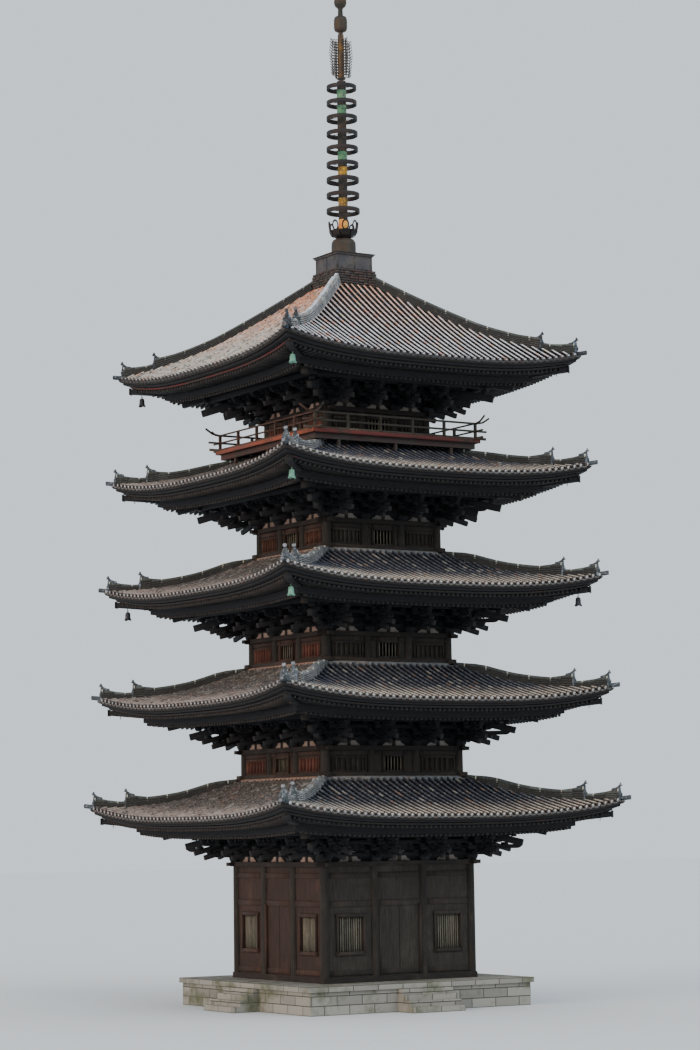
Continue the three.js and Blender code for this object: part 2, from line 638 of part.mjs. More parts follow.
function finialFlame() {
  const f = FLAME;
  const rodTop = f.top + FLAME_ROD.past;
  const footTop = f.bottom + FLAME_ROD.foot;
  const outer = FLAME_EDGE.map(([share, up]) => [f.half * share, f.bottom + up]);
  const outline = [[0, footTop + SINK / 2], ...outer, [0, f.top - f.dip]];
  const plate = () => upright(outline, f.thick, 0);
  const rod = turned([[0, f.bottom], [HUB_RADIUS, f.bottom], [HUB_RADIUS, footTop],
    [FLAME_ROD.radius, footTop], [FLAME_ROD.radius, rodTop], [0, rodTop]], FINIAL_SIDES);
  return join([rod, ...onFourSides(plate)]);
}

function finialJewels() {
  const bottom = FLAME.top + FLAME_ROD.past + TOUCH;
  const { rod, radius, middle, tip } = JEWEL;
  const b = BARREL;
  const jewel = JEWEL_EDGE.map(([share, up]) => [radius * share, middle + up]);
  return turned([[0, bottom], [rod, bottom], [rod, b.bottom], [b.end, b.bottom],
    [b.radius, b.bottom + b.shoulder], [b.radius, b.top - b.shoulder], [b.end, b.top],
    [rod, b.top], [rod, middle - radius], ...jewel, [0, tip]], FINIAL_SIDES);
}

// A wind bell hanging from its pin, made at the corner between +X and +Y
function bell(s) {
  const pin = bellPin(s);
  const b = BELL_BODY;
  const down = (drop) => pin.height - drop;
  const mouthInner = b.mouth - b.wall;
  const shoulderInner = b.shoulder - b.wall;
  const crownInner = b.shoulderDrop + b.wall;
  const skirt = turned([[0, down(b.crown)], [b.shoulder, down(b.shoulderDrop)],
    [b.mouth, down(b.crown + b.height)], [mouthInner, down(b.crown + b.height)],
    [shoulderInner, down(crownInner)], [0, down(crownInner - b.wall)]], BELL_SIDES);
  const e = BELL_EYE;
  const eyeBottom = down(b.crown + e.sunk);
  const eyeTop = pin.height + e.top;
  const eye = [[-e.half, eyeBottom], [e.half, eyeBottom], [e.half, eyeTop], [-e.half, eyeTop]];
  const corners = [[-1, -1], [1, -1], [1, 1], [-1, 1]];
  const hole = corners.map(([x, y]) => [x * e.hole, pin.height + y * e.hole]);
  const loop = upright(eye, e.thick, 0, [hole]);
  return join([skirt, loop]).translate([pin.radius, 0, 0]).rotate([0, 0, 45]);
}

// The assembly
const pagoda = new THREE.Group();
const place = (name, whole, look) => pagoda.add(meshOf(name, whole, look));

place('podium', podium(), STONE);
place('central_pillar', centralPillar(), TIMBER);

const DOOR_SIDES = ['right', 'back', 'left', 'front']; // quarter turns from +X
const ground = storeySizes(1);
DOOR_SIDES.forEach((side, quarter) => {
  place(`${side}_door`, turnAround(doorPair(ground), quarter), WEATHERED);
});

// Corners with a bell, by storey: the lowest two roofs and three corners have lost theirs
const CORNERS = ['back_right', 'back_left', 'front_left', 'front_right'];
const BELL_CORNERS = {
  1: [],
  2: [],
  3: CORNERS,
  4: ['back_right', 'front_left'],
  5: ['back_right', 'back_left', 'front_left'],
};
for (const k of STOREYS) {
  const s = storeySizes(k);
  place(`storey_${k}_frame`, frame(s), TIMBER);
  place(`storey_${k}_walls`, walls(s), WEATHERED);
  place(`storey_${k}_brackets`, brackets(s), PLASTER);
  place(`storey_${k}_eaves`, eaves(s), TIMBER);
  place(`storey_${k}_roof`, roof(s), TILE);
  for (const corner of BELL_CORNERS[k]) {
    place(`bell_${k}_${corner}`, turnAround(bell(s), CORNERS.indexOf(corner)), VERDIGRIS);
  }
}

const top = storeySizes(TOP_STOREY);
place('balcony_deck', balconyDeck(top, storeySizes(TOP_STOREY - 1)), WEATHERED);
place('balcony_railing', balconyRailing(), TIMBER);
place('finial_basin', finialBasin(), BRONZE);
place('finial_bowl', finialBowl(), BRONZE);
place('finial_lotus', finialLotus(), BRONZE);
place('finial_rings', finialRings(), BRONZE);
place('finial_flame', finialFlame(), BRONZE);
place('finial_jewels', finialJewels(), BRONZE);

pagoda.scale.setScalar(MODEL_SCALE);
export default pagoda;
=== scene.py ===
import math

import bmesh
import bpy
import numpy as np
from mathutils import Matrix, Vector


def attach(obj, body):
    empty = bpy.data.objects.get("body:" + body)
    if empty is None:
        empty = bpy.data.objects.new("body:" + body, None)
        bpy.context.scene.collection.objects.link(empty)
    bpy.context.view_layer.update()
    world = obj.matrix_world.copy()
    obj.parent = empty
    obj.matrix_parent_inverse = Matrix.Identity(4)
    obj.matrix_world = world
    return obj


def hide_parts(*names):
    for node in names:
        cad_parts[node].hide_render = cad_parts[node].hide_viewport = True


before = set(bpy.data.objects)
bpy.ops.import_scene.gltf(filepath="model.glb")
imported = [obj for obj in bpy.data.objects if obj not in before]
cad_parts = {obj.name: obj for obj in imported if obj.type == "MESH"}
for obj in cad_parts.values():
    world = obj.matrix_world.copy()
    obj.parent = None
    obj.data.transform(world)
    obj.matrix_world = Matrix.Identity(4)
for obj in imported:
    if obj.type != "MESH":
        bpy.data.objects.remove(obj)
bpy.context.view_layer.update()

# Five-storey timber pagoda as a 1:2 model. Lengths below are metres of the full-size building,
# and build() scales each piece to the model. A side faces +X, and the others are turned copies.
MODEL_SCALE = 0.5
TOWER = "tower"
UP = Vector((0, 0, 1))
ROOT2 = math.sqrt(2)
QUARTER = math.pi / 2
CORNER_TURN = Matrix.Rotation(math.pi / 4, 4, "Z")
rng = np.random.default_rng(5)

BODY_HALF, BODY_STEP, EAVE_HALF, EAVE_STEP = 3.945, 0.293, 8.7, 0.262
TIP_HEIGHT, TIP_STEP, PLATE_HEIGHT, PLATE_STEP, PLATE_THICK = 8.815, 4.935, 6.24, 4.99, 0.1
TOP_ROOF_HALF, TOP_ROOF_HEIGHT, TOP_SAG, LOW_SAG = 1.1, 32.1, 0.2, 0.38
UNDER_WALL, UNDER_DECK = 1.36, 1.45
EAVE_RISE, EAVE_FLARE, CURL_START, CURL_POWER = 0.65, 0.15, 1.4, 1.5
TILE_LIFT = 0.075
ROW_PITCH, TILE_LENGTH = 0.332, 0.3
RAFTER_PITCH, RAFTER_SLOPE = 0.24, 0.3
BASE_INSET, BASE_DROP, FLYING_INSET, FLYING_DROP = 1.55, 0.8, 0.47, 0.44
POST = 0.19
CORNERS = ("back_right", "back_left", "front_left", "front_right")
BELL_CORNERS = {1: (), 2: (), 3: CORNERS, 4: ("back_right", "front_left"),
                5: ("back_right", "back_left", "front_left")}
BELL_INSET, BELL_DROP = 1.15, 0.85
RED_STOREYS = (2, 3, 5)


class Storey:
    """Sizes of one storey and of the roof over it."""

    def __init__(self, k):
        self.k = k
        self.body = BODY_HALF - BODY_STEP * (k - 1)
        self.tip = TIP_HEIGHT + TIP_STEP * (k - 1)
        self.plate = PLATE_HEIGHT + PLATE_STEP * (k - 1)
        self.edge = self.tip - EAVE_RISE
        self.eave = EAVE_HALF - EAVE_STEP * (k - 1)
        self.eave_middle = self.eave - EAVE_FLARE
        self.is_top = k == 5
        self.under_deck = k == 4
        self.roof_half = TOP_ROOF_HALF if self.is_top else self.body - BODY_STEP
        meets_wall = self.plate + PLATE_STEP - (UNDER_DECK if self.under_deck else UNDER_WALL)
        self.roof_top = TOP_ROOF_HEIGHT if self.is_top else meets_wall
        self.sag = TOP_SAG if self.is_top else LOW_SAG
        self.plate_top = self.plate + PLATE_THICK
        self.tip_radius = self.eave * ROOT2
        self.corner_post = self.body - POST
        self.post_lines = [self.corner_post * share for share in (-1, -1 / 3, 1 / 3, 1)]

    def curl(self, half):
        start = self.body + CURL_START
        share = (half - start) / (self.eave_middle - start)
        return min(1.0, max(0.0, share)) ** CURL_POWER

    def height(self, half):
        share = (self.eave_middle - half) / (self.eave_middle - self.roof_half)
        return self.edge + (self.roof_top - self.edge) * ((1 - self.sag) * share + self.sag * share * share)

    def bent(self, half, height, u):
        """A point of a side at a half width, u from -1 to 1 along it, with the corners curling up."""
        bend = abs(u) ** 3 * self.curl(half)
        reach = half + EAVE_FLARE * self.curl(half)
        return Vector((half + EAVE_FLARE * bend, u * reach, height + EAVE_RISE * bend))

    def at_line(self, half, height, along):
        """The same on a straight line at a distance along the side."""
        reach = half + EAVE_FLARE * self.curl(half)
        u = max(-1.0, min(1.0, along / reach))
        bend = abs(u) ** 3 * self.curl(half)
        return Vector((half + EAVE_FLARE * bend, along, height + EAVE_RISE * bend))

    def surface(self, half, along, lift=TILE_LIFT):
        return self.at_line(half, self.height(half) + lift, along)

    def hip(self, radius, lift=TILE_LIFT):
        """A point of the roof surface on the hip, as distance along the diagonal and height."""
        half = radius / ROOT2
        half -= EAVE_FLARE * self.curl(half)
        return Vector((radius, 0, self.height(half) + EAVE_RISE * self.curl(half) + lift))

    def rafter(self, half):
        return self.edge - BASE_DROP + RAFTER_SLOPE * (self.eave_middle - BASE_INSET - half)


STOREYS = [Storey(k) for k in (1, 2, 3, 4, 5)]


# Shapes: a mesh read into arrays, so that copies of it can be laid out in one piece
class Shape:
    def __init__(self, points, faces, marks=None):
        self.points = np.array(points, dtype=float)
        self.corners = np.array([corner for face in faces for corner in face], dtype=np.int64)
        sizes = np.array([len(face) for face in faces])
        self.starts = np.concatenate(([0], np.cumsum(sizes)[:-1]))
        self.marks = np.array(marks if marks is not None else [0] * len(faces))


def clear_selection():
    if bpy.context.object and bpy.context.object.mode != "OBJECT":
        bpy.ops.object.mode_set(mode="OBJECT")
    bpy.ops.object.select_all(action="DESELECT")


def apply_transform():
    bpy.ops.object.transform_apply(location=True, rotation=True, scale=True)


def face_outward():
    bpy.ops.mesh.select_all(action="SELECT")
    bpy.ops.mesh.normals_make_consistent(inside=False)


def extrude(*move):
    bpy.ops.mesh.extrude_region_move(TRANSFORM_OT_translate={"value": move})


def taken(obj):
    """Reads a modelled object into a Shape and removes it."""
    clear_selection()
    obj.select_set(True)
    bpy.context.view_layer.objects.active = obj
    apply_transform()
    mesh = obj.data
    shape = Shape([v.co[:] for v in mesh.vertices], [tuple(f.vertices) for f in mesh.polygons],
                  [f.material_index for f in mesh.polygons])
    bpy.data.objects.remove(obj)
    bpy.data.meshes.remove(mesh)
    return shape


def joined(*shapes):
    points, faces, marks, base = [], [], [], 0
    for shape in shapes:
        points.extend(shape.points)
        ends = list(shape.starts[1:]) + [len(shape.corners)]
        faces.extend([tuple(base + shape.corners[a:b]) for a, b in zip(shape.starts, ends)])
        marks.extend(shape.marks)
        base += len(shape.points)
    return Shape(points, faces, marks)


def start_edit(obj, verts=None, edges=None, faces=None):
    """Edit mode with only the elements that pass a test selected."""
    bpy.context.view_layer.objects.active = obj
    if obj.mode != "EDIT":
        bpy.ops.object.mode_set(mode="EDIT")
    bpy.ops.mesh.select_all(action="DESELECT")
    data = bmesh.from_edit_mesh(obj.data)
    data.normal_update()
    if verts:
        for v in data.verts:
            v.select = verts(v)
        data.select_flush(True)
    if edges:
        for e in data.edges:
            if edges(e):
                e.select_set(True)
    if faces:
        for f in data.faces:
            if faces(f):
                f.select_set(True)
    bmesh.update_edit_mesh(obj.data)


def cube(size, centre=(0, 0, 0)):
    clear_selection()
    bpy.ops.mesh.primitive_cube_add(size=1, location=centre)
    obj = bpy.context.object
    obj.scale = size
    apply_transform()
    return obj


def runs_along(axis):
    def test(edge):
        step = edge.verts[1].co - edge.verts[0].co
        return abs(step[axis]) > 0.99 * step.length
    return test


def beam(width, height, bevel=0.008, end_mark=0):
    """A timber of unit length from the origin along +X, its long edges bevelled."""
    obj = cube((1, width, height), (0.5, 0, 0))
    start_edit(obj, edges=runs_along(0))
    bpy.ops.mesh.bevel(offset=bevel, segments=1, affect="EDGES")
    clear_selection()
    if end_mark:
        for face in obj.data.polygons:
            if face.normal.x > 0.9:
                face.material_index = end_mark
    return taken(obj)


def bearing_block(width, height):
    """A square block whose lower part narrows, standing on the origin."""
    upper = height * 0.55
    obj = cube((width, width, upper), (0, 0, height - upper / 2))
    start_edit(obj, faces=lambda f: f.normal.z < -0.9)
    for drop, size in ((0.15, 0.92), (0.3, 0.86)):
        extrude(0, 0, -height * drop)
        bpy.ops.transform.resize(value=(size, size, 1))
    return taken(obj)


def bracket_arm(length, width=0.13, height=0.18):
    """An arm centred on the origin along +X, with the undersides of its ends curved up."""
    obj = cube((length, width, height), (0, 0, height / 2))
    start_edit(obj, edges=lambda e: runs_along(1)(e) and all(v.co.z < height / 2 for v in e.verts))
    bpy.ops.mesh.bevel(offset=height * 0.75, segments=3, affect="EDGES")
    return taken(obj)


def drawn(points, edges, faces):
    """A new object from points and the edges or faces between them."""
    clear_selection()
    mesh = bpy.data.meshes.new("outline")
    mesh.from_pydata(points, edges, faces)
    obj = bpy.data.objects.new("outline", mesh)
    bpy.context.collection.objects.link(obj)
    obj.select_set(True)
    bpy.context.view_layer.objects.active = obj
    return obj


def turned_shape(profile, sides, closed=True):
    """A body of revolution from (radius, height) points, made by spinning a line about the Z axis."""
    obj = drawn([(radius, 0, height) for radius, height in profile],
                [(i, i + 1) for i in range(len(profile) - 1)], [])
    bpy.ops.object.mode_set(mode="EDIT")
    bpy.ops.mesh.select_all(action="SELECT")
    bpy.ops.mesh.spin(steps=sides, angle=math.tau, center=(0, 0, 0), axis=(0, 0, 1), dupli=False)
    bpy.ops.mesh.select_all(action="SELECT")
    bpy.ops.mesh.remove_doubles(threshold=0.0005)
    if closed:
        face_outward()
    clear_selection()
    return taken(obj)


def plate_shape(outline, thick, bevel=0.0):
    """A flat outline of (x, z) points given a thickness along Y, centred."""
    obj = drawn([(x, -thick / 2, z) for x, z in outline], [], [tuple(range(len(outline)))])
    start_edit(obj, faces=lambda f: True)
    extrude(0, thick, 0)
    face_outward()
    if bevel:
        start_edit(obj, edges=lambda e: abs(e.verts[0].co.y - e.verts[1].co.y) < thick / 2)
        bpy.ops.mesh.bevel(offset=bevel, segments=1, affect="EDGES")
    clear_selection()
    return taken(obj)


def rolled(shape, axis, angle=QUARTER, shift=(0, 0, 0)):
    """Turns a shape about an axis and then moves it."""
    shape.points = shape.points @ np.array(Matrix.Rotation(angle, 3, axis)).T + np.array(shift)
    return shape


# Placing: matrices for one side, for the four sides, and for the four corners
def place(x, y, z, turn=0.0, size=(1, 1, 1)):
    return (Matrix.Translation((x, y, z)) @ Matrix.Rotation(turn, 4, "Z")
            @ Matrix.Diagonal((*size, 1)))


def span(start, end, width=1.0, height=1.0, up=UP):
    """Lays a shape of unit length from one point to another."""
    along = end - start
    side = up.cross(along).normalized() * width
    rise = along.cross(side).normalized() * height
    return Matrix(((along.x, side.x, rise.x, start.x), (along.y, side.y, rise.y, start.y),
                   (along.z, side.z, rise.z, start.z), (0, 0, 0, 1)))


def four_sides(places):
    turns = [Matrix.Rotation(QUARTER * quarter, 4, "Z") for quarter in range(4)]
    return [turn @ spot for turn in turns for spot in places]


def four_corners(places):
    return four_sides([CORNER_TURN @ spot for spot in places])


def curved_ring(s, section, steps=20, side_marks=(0, 0, 0, 0)):
    """A closed square ring whose corners curl up with the eave, from (half, height) points."""
    stations = [-1 + 2 * i / steps for i in range(steps)]
    points, faces = [], []
    for quarter in range(4):
        turn = Matrix.Rotation(QUARTER * quarter, 3, "Z")
        for u in stations:
            points.extend([turn @ s.bent(half, height, u) for half, height in section])
    count, loops = len(section), 4 * steps
    for i in range(loops):
        a, b = i * count, ((i + 1) % loops) * count
        for j in range(count):
            k = (j + 1) % count
            faces.append((a + j, a + k, b + k, b + j))
    return Shape(points, faces, [side_marks[i // steps] for i in range(loops) for _ in section])


def square_ring(s, outer, inner, low, high, steps=20, **ways):
    """A curved ring of rectangular section."""
    return curved_ring(s, [(outer, low), (outer, high), (inner, high), (inner, low)], steps, **ways)


def marked(shape, mark):
    shape.marks[:] = mark
    return shape


def use_left_finishes(mesh, shift):
    """Moves the faces of the left side on to later finishes: lit copies, with the warm light on that side
    painted into their colour.
    """
    centres, marks = np.zeros(3 * len(mesh.polygons)), np.zeros(len(mesh.polygons), dtype=np.int32)
    mesh.polygons.foreach_get("center", centres)
    mesh.polygons.foreach_get("material_index", marks)
    on_left = centres[0::3] < -np.abs(centres[1::3])
    mesh.polygons.foreach_set("material_index", (marks + shift * on_left).astype(np.int32))


def build(name, parts, finishes, left_finishes=(), smooth=None, body=TOWER, hides=(), tidy=False):
    """Lays out shapes as one piece: a part is a shape, (shape, places) or (shape, places, levels); the
    levels move a tile finish from its wall colour to its eave colour, painted shade on the lower roofs.
    """
    points, corners, starts, marks, tones, wear_and_shade_levels = [], [], [], [], [], []
    point_count = corner_count = 0
    for part in parts:
        shape, places, *wear_and_shade = (part, [Matrix.Identity(4)]) if isinstance(part, Shape) else part
        grid = np.array([np.array(spot) for spot in places])
        n = len(grid)
        moved = np.einsum("nij,vj->nvi", grid[:, :3, :3], shape.points) + grid[:, None, :3, 3]
        points.append(moved.reshape(-1, 3))
        steps = np.arange(n)[:, None]
        corners.append((shape.corners[None, :] + point_count + steps * len(shape.points)).ravel())
        starts.append((shape.starts[None, :] + corner_count + steps * len(shape.corners)).ravel())
        marks.append(np.tile(shape.marks, n))
        tones.append(np.repeat(rng.random(n), len(shape.starts)))
        wear_and_shade_levels.append(np.repeat(wear_and_shade[0] if wear_and_shade else np.zeros(n), len(shape.starts)))
        point_count += n * len(shape.points)
        corner_count += n * len(shape.corners)
    mesh = bpy.data.meshes.new(name)
    mesh.vertices.add(point_count)
    mesh.vertices.foreach_set("co", (np.concatenate(points) * MODEL_SCALE).ravel())
    mesh.loops.add(corner_count)
    mesh.loops.foreach_set("vertex_index", np.concatenate(corners))
    starts = np.concatenate(starts)
    mesh.polygons.add(len(starts))
    mesh.polygons.foreach_set("loop_start", starts)
    mesh.polygons.foreach_set("material_index", np.concatenate(marks))
    mesh.update(calc_edges=True)
    # tone is random per copy; the other level sets how far a tile finish goes from its wall colour to its
    # eave colour, painted shade on the lower roofs.
    for label, values in (("tone", tones), ("wear_and_shade", wear_and_shade_levels)):
        mesh.attributes.new(label, "FLOAT", "FACE").data.foreach_set("value", np.concatenate(values))
    obj = bpy.data.objects.new(name, mesh)
    bpy.context.collection.objects.link(obj)
    for material in (*finishes, *left_finishes):
        mesh.materials.append(material)
    if left_finishes:
        use_left_finishes(mesh, len(finishes))
    clear_selection()
    obj.select_set(True)
    bpy.context.view_layer.objects.active = obj
    if tidy:
        bpy.ops.object.mode_set(mode="EDIT")
        face_outward()
        bpy.ops.object.mode_set(mode="OBJECT")
    if smooth:
        bpy.ops.object.shade_smooth_by_angle(angle=math.radians(smooth))
    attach(obj, body)
    if hides:
        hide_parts(*hides)


# Finishes
def tint(red, green, blue):
    """An 8-bit screen colour as a linear one."""
    linear = [(c / 255 / 12.92) if c <= 10 else ((c / 255 + 0.055) / 1.055) ** 2.4
              for c in (red, green, blue)]
    return (*linear, 1.0)


def node(tree, kind, inputs=None, **settings):
    made = tree.nodes.new("ShaderNode" + kind)
    for key, value in settings.items():
        setattr(made, key, value)
    for key, value in (inputs or {}).items():
        if isinstance(value, bpy.types.NodeSocket):
            tree.links.new(value, made.inputs[key])
        else:
            made.inputs[key].default_value = value
    return made


def math_node(tree, operation, a, b=0.0):
    return node(tree, "Math", {0: a, 1: b}, operation=operation).outputs[0]


def blend(tree, share, low, high, mode="MIX"):
    mixed = node(tree, "Mix", {0: share, 6: low, 7: high}, data_type="RGBA", blend_type=mode)
    return mixed.outputs[2]


def stretch_range(tree, value, low, high, to_low=0.0, to_high=1.0):
    return node(tree, "MapRange", {0: value, 1: low, 2: high, 3: to_low, 4: to_high}).outputs[0]


def new_group(name, inputs, outputs):
    tree = bpy.data.node_groups.new(name, "ShaderNodeTree")
    for label, kind, value in inputs:
        tree.interface.new_socket(label, in_out="INPUT", socket_type=kind).default_value = value
    for label, kind in outputs:
        tree.interface.new_socket(label, in_out="OUTPUT", socket_type=kind)
    return tree, tree.nodes.new("NodeGroupInput").outputs, tree.nodes.new("NodeGroupOutput").inputs


FLOAT, VECTOR = "NodeSocketFloat", "NodeSocketVector"


def make_grain_group():
    """Wood fibres: streaks along the direction in which the stretch is small."""
    tree, given, out = new_group(
        "Wood grain", [("Stretch", VECTOR, (1, 1, 1)), ("Strength", FLOAT, 1.0)],
        [("Grain", FLOAT), ("Height", FLOAT)])
    place_on = node(tree, "TexCoord").outputs["Object"]
    scaled = node(tree, "VectorMath", {0: place_on, 1: given["Stretch"]}, operation="MULTIPLY").outputs[0]
    broad = node(tree, "TexNoise", {"Vector": scaled, "Scale": 1.0, "Detail": 3.0}).outputs[0]
    fine = node(tree, "TexNoise", {"Vector": scaled, "Scale": 5.0, "Detail": 5.0}).outputs[0]
    both = math_node(tree, "ADD", math_node(tree, "MULTIPLY", broad, 0.6),
                     math_node(tree, "MULTIPLY", fine, 0.4))
    grain = stretch_range(tree, both, 0.32, 0.68)
    tree.links.new(grain, out["Grain"])
    tree.links.new(math_node(tree, "MULTIPLY", grain, given["Strength"]), out["Height"])
    return tree


def make_grime_group():
    """Patches of dirt, lichen or fading: a soft mask from one noise."""
    tree, given, out = new_group(
        "Grime", [("Scale", FLOAT, 1.0), ("Cover", FLOAT, 0.5), ("Edge", FLOAT, 0.1)], [("Mask", FLOAT)])
    place_on = node(tree, "TexCoord").outputs["Object"]
    broad = node(tree, "TexNoise", {"Vector": place_on, "Scale": given["Scale"], "Detail": 6.0,
                                    "Roughness": 0.65}).outputs[0]
    middle = math_node(tree, "SUBTRACT", 1.0, given["Cover"])
    low, high = (math_node(tree, way, middle, given["Edge"]) for way in ("SUBTRACT", "ADD"))
    tree.links.new(stretch_range(tree, broad, low, high), out["Mask"])
    return tree


GRAIN = make_grain_group()
GRIME = make_grime_group()


def use_group(tree, group, inputs):
    made = tree.nodes.new("ShaderNodeGroup")
    made.node_tree = group
    for key, value in inputs.items():
        made.inputs[key].default_value = value
    return made.outputs


def grain(tree, stretch):
    return use_group(tree, GRAIN, {"Stretch": stretch})


def grime(tree, scale, cover, edge=0.1):
    return use_group(tree, GRIME, {"Scale": scale, "Cover": cover, "Edge": edge})["Mask"]


def new_finish(name, roughness=0.8, metallic=0.0):
    material = bpy.data.materials.new(name)
    material.use_nodes = True
    tree = material.node_tree
    shader = tree.nodes["Principled BSDF"]
    shader.inputs["Roughness"].default_value = roughness
    shader.inputs["Metallic"].default_value = metallic
    return material, tree, shader


def bump(tree, shader, height, strength, distance=0.01):
    bumped = node(tree, "Bump", {"Height": height, "Strength": strength, "Distance": distance})
    tree.links.new(bumped.outputs[0], shader.inputs["Normal"])


def attribute(tree, name):
    return node(tree, "Attribute", attribute_name=name).outputs["Fac"]


def scaled_colour(tree, colour, share):
    return node(tree, "VectorMath", {0: colour, "Scale": share}, operation="SCALE").outputs[0]


def coloured(tree, shader, colour):
    tree.links.new(colour, shader.inputs["Base Color"])


def wood(name, dark, pale, stretch, faded=None, fade_cover=0.4):
    """Weathered timber: grain between two colours, with faded patches and piece-by-piece tone."""
    material, tree, shader = new_finish(name, 0.85)
    fibres = grain(tree, stretch)
    colour = blend(tree, fibres["Grain"], tint(*dark), tint(*pale))
    if faded:
        mask = grime(tree, 1.3, fade_cover)
        colour = blend(tree, mask, colour, blend(tree, fibres["Grain"], tint(*pale), tint(*faded)))
    tone = stretch_range(tree, attribute(tree, "tone"), 0, 1, 0.72, 1.25)
    coloured(tree, shader, scaled_colour(tree, colour, tone))
    bump(tree, shader, fibres["Height"], 0.5)
    return material


ODD_SHARE = 0.012
# SOOT_AND_SHADE colours the dark specks: soot, and on the left-side tiles, where the specks are strong, also
# painted shade for the dark strokes between the tile rows.
STRAW, SLATE_BLUE, SOOT_AND_SHADE = (202, 184, 128), (112, 132, 164), (40, 40, 44)


def odd_tile(tree, tone, middle):
    """1 on the few tiles whose tone lies close to a value, else 0."""
    return node(tree, "Math", {0: tone, 1: middle, 2: ODD_SHARE}, operation="COMPARE").outputs[0]


def fired_clay(name, cold, warm, rust, pale, rust_cover=0.36, rust_share=0.93, odd=0.0, specks=0.45,
               lichen=0.4):
    """Roof tile: goes from its colour near the wall to its colour at the eave by a level on each tile; on the
    lower roofs the darker, colder colour near the wall is painted shade under the roof above. With
    rusty, pale and odd tiles, lichen and specks."""
    material, tree, shader = new_finish(name, 0.75)
    tone, wear_and_shade = attribute(tree, "tone"), attribute(tree, "wear_and_shade")
    drift = math_node(tree, "SUBTRACT", grime(tree, 0.9, 0.5, 0.3), 0.5)
    share = math_node(tree, "ADD", wear_and_shade, math_node(tree, "MULTIPLY", drift, 0.3))
    colour = blend(tree, stretch_range(tree, share, 0.15, 0.85), tint(*cold), tint(*warm))
    for mask, strength, other in (
            (stretch_range(tree, tone, rust_share, rust_share + 0.02), 0.5, rust),
            (grime(tree, 5.0, rust_cover, 0.06), 0.55, rust),
            (stretch_range(tree, tone, 0.07, 0.05), 0.5, pale),
            (odd_tile(tree, tone, 0.5), odd, STRAW),
            (odd_tile(tree, tone, 0.3), odd, SLATE_BLUE),
            (grime(tree, 17.0, 0.42, 0.06), lichen, pale),
            (grime(tree, 11.0, 0.43, 0.06), specks, SOOT_AND_SHADE)):
        colour = blend(tree, math_node(tree, "MULTIPLY", mask, strength), colour, tint(*other))
    shuffled = math_node(tree, "FRACT", math_node(tree, "MULTIPLY", tone, 7.31))
    coloured(tree, shader, scaled_colour(tree, colour, stretch_range(tree, shuffled, 0, 1, 0.84, 1.12)))
    bump(tree, shader, grime(tree, 30.0, 0.5, 0.3), 0.3, 0.004)
    return material


def patina(name, metal, crust, patch, scale=3.0, cover=0.5, roughness=0.6, metallic=0.5):
    """Old metal: bare in places, crusted in others, with small patches of a third colour."""
    material, tree, shader = new_finish(name, roughness, metallic)
    colour = blend(tree, grime(tree, scale, cover, 0.12), tint(*metal), tint(*crust))
    coloured(tree, shader, blend(tree, grime(tree, scale * 3.7, 0.4, 0.08), colour, tint(*patch)))
    rough = stretch_range(tree, grime(tree, scale * 2, 0.5, 0.2), 0, 1, roughness - 0.1, roughness + 0.2)
    tree.links.new(rough, shader.inputs["Roughness"])
    bump(tree, shader, grime(tree, scale * 6, 0.5, 0.3), 0.35, 0.006)
    return material


def painted(name, paint, bare, cover):
    """Old paint that has flaked off in places down to the wood."""
    material, tree, shader = new_finish(name, 0.75)
    fibres = grain(tree, (6, 6, 40))
    wooden = blend(tree, fibres["Grain"], tint(*bare), tint(*[c * 1.5 for c in bare]))
    coloured(tree, shader, blend(tree, grime(tree, 2.0, cover, 0.05), wooden, tint(*paint)))
    bump(tree, shader, fibres["Height"], 0.4)
    return material


def lime(name, clean, dirty):
    """Matt plaster or clay bed with soft dirty patches."""
    material, tree, shader = new_finish(name, 0.95)
    coloured(tree, shader, blend(tree, grime(tree, 3.0, 0.5, 0.2), tint(*clean), tint(*dirty)))
    bump(tree, shader, grime(tree, 20.0, 0.5, 0.3), 0.3, 0.005)
    return material


def masonry():
    """Courses of cut stone on the upright faces and square slabs on the level ones."""
    material, tree, shader = new_finish("podium_stone", 0.92)
    spot = node(tree, "SeparateXYZ", {0: node(tree, "TexCoord").outputs["Object"]}).outputs
    facing = node(tree, "SeparateXYZ", {0: node(tree, "NewGeometry").outputs["True Normal"]}).outputs[2]
    round_corner = math_node(tree, "ADD", spot[0], spot[1])
    upright_face = node(tree, "CombineXYZ", {0: round_corner, 1: spot[2]}).outputs[0]
    level_face = node(tree, "CombineXYZ", {0: spot[0], 1: spot[1]}).outputs[0]
    level = math_node(tree, "GREATER_THAN", math_node(tree, "ABSOLUTE", facing), 0.5)
    flat = node(tree, "Mix", {0: level, 4: upright_face, 5: level_face}, data_type="VECTOR").outputs[1]
    slabs = node(tree, "TexBrick", {
        "Vector": flat, "Color1": tint(150, 147, 138), "Color2": tint(122, 119, 112),
        "Mortar": tint(60, 58, 54), "Scale": 1.0, "Mortar Size": 0.01, "Brick Width": 0.62,
        "Row Height": 0.2})
    coloured(tree, shader, blend(tree, grime(tree, 1.6, 0.42), slabs.outputs[0], tint(86, 90, 66)))
    bump(tree, shader, grime(tree, 12.0, 0.5, 0.3), 0.4, 0.01)
    return material


def even_clay(name, colour, rust, pale):
    """Ridge tile, which keeps one colour along the whole ridge, with no shift from the wall to the eave."""
    return fired_clay(name, colour, colour, rust, pale)


ALONG, UPWARD = (3, 3, 26), (26, 26, 3)
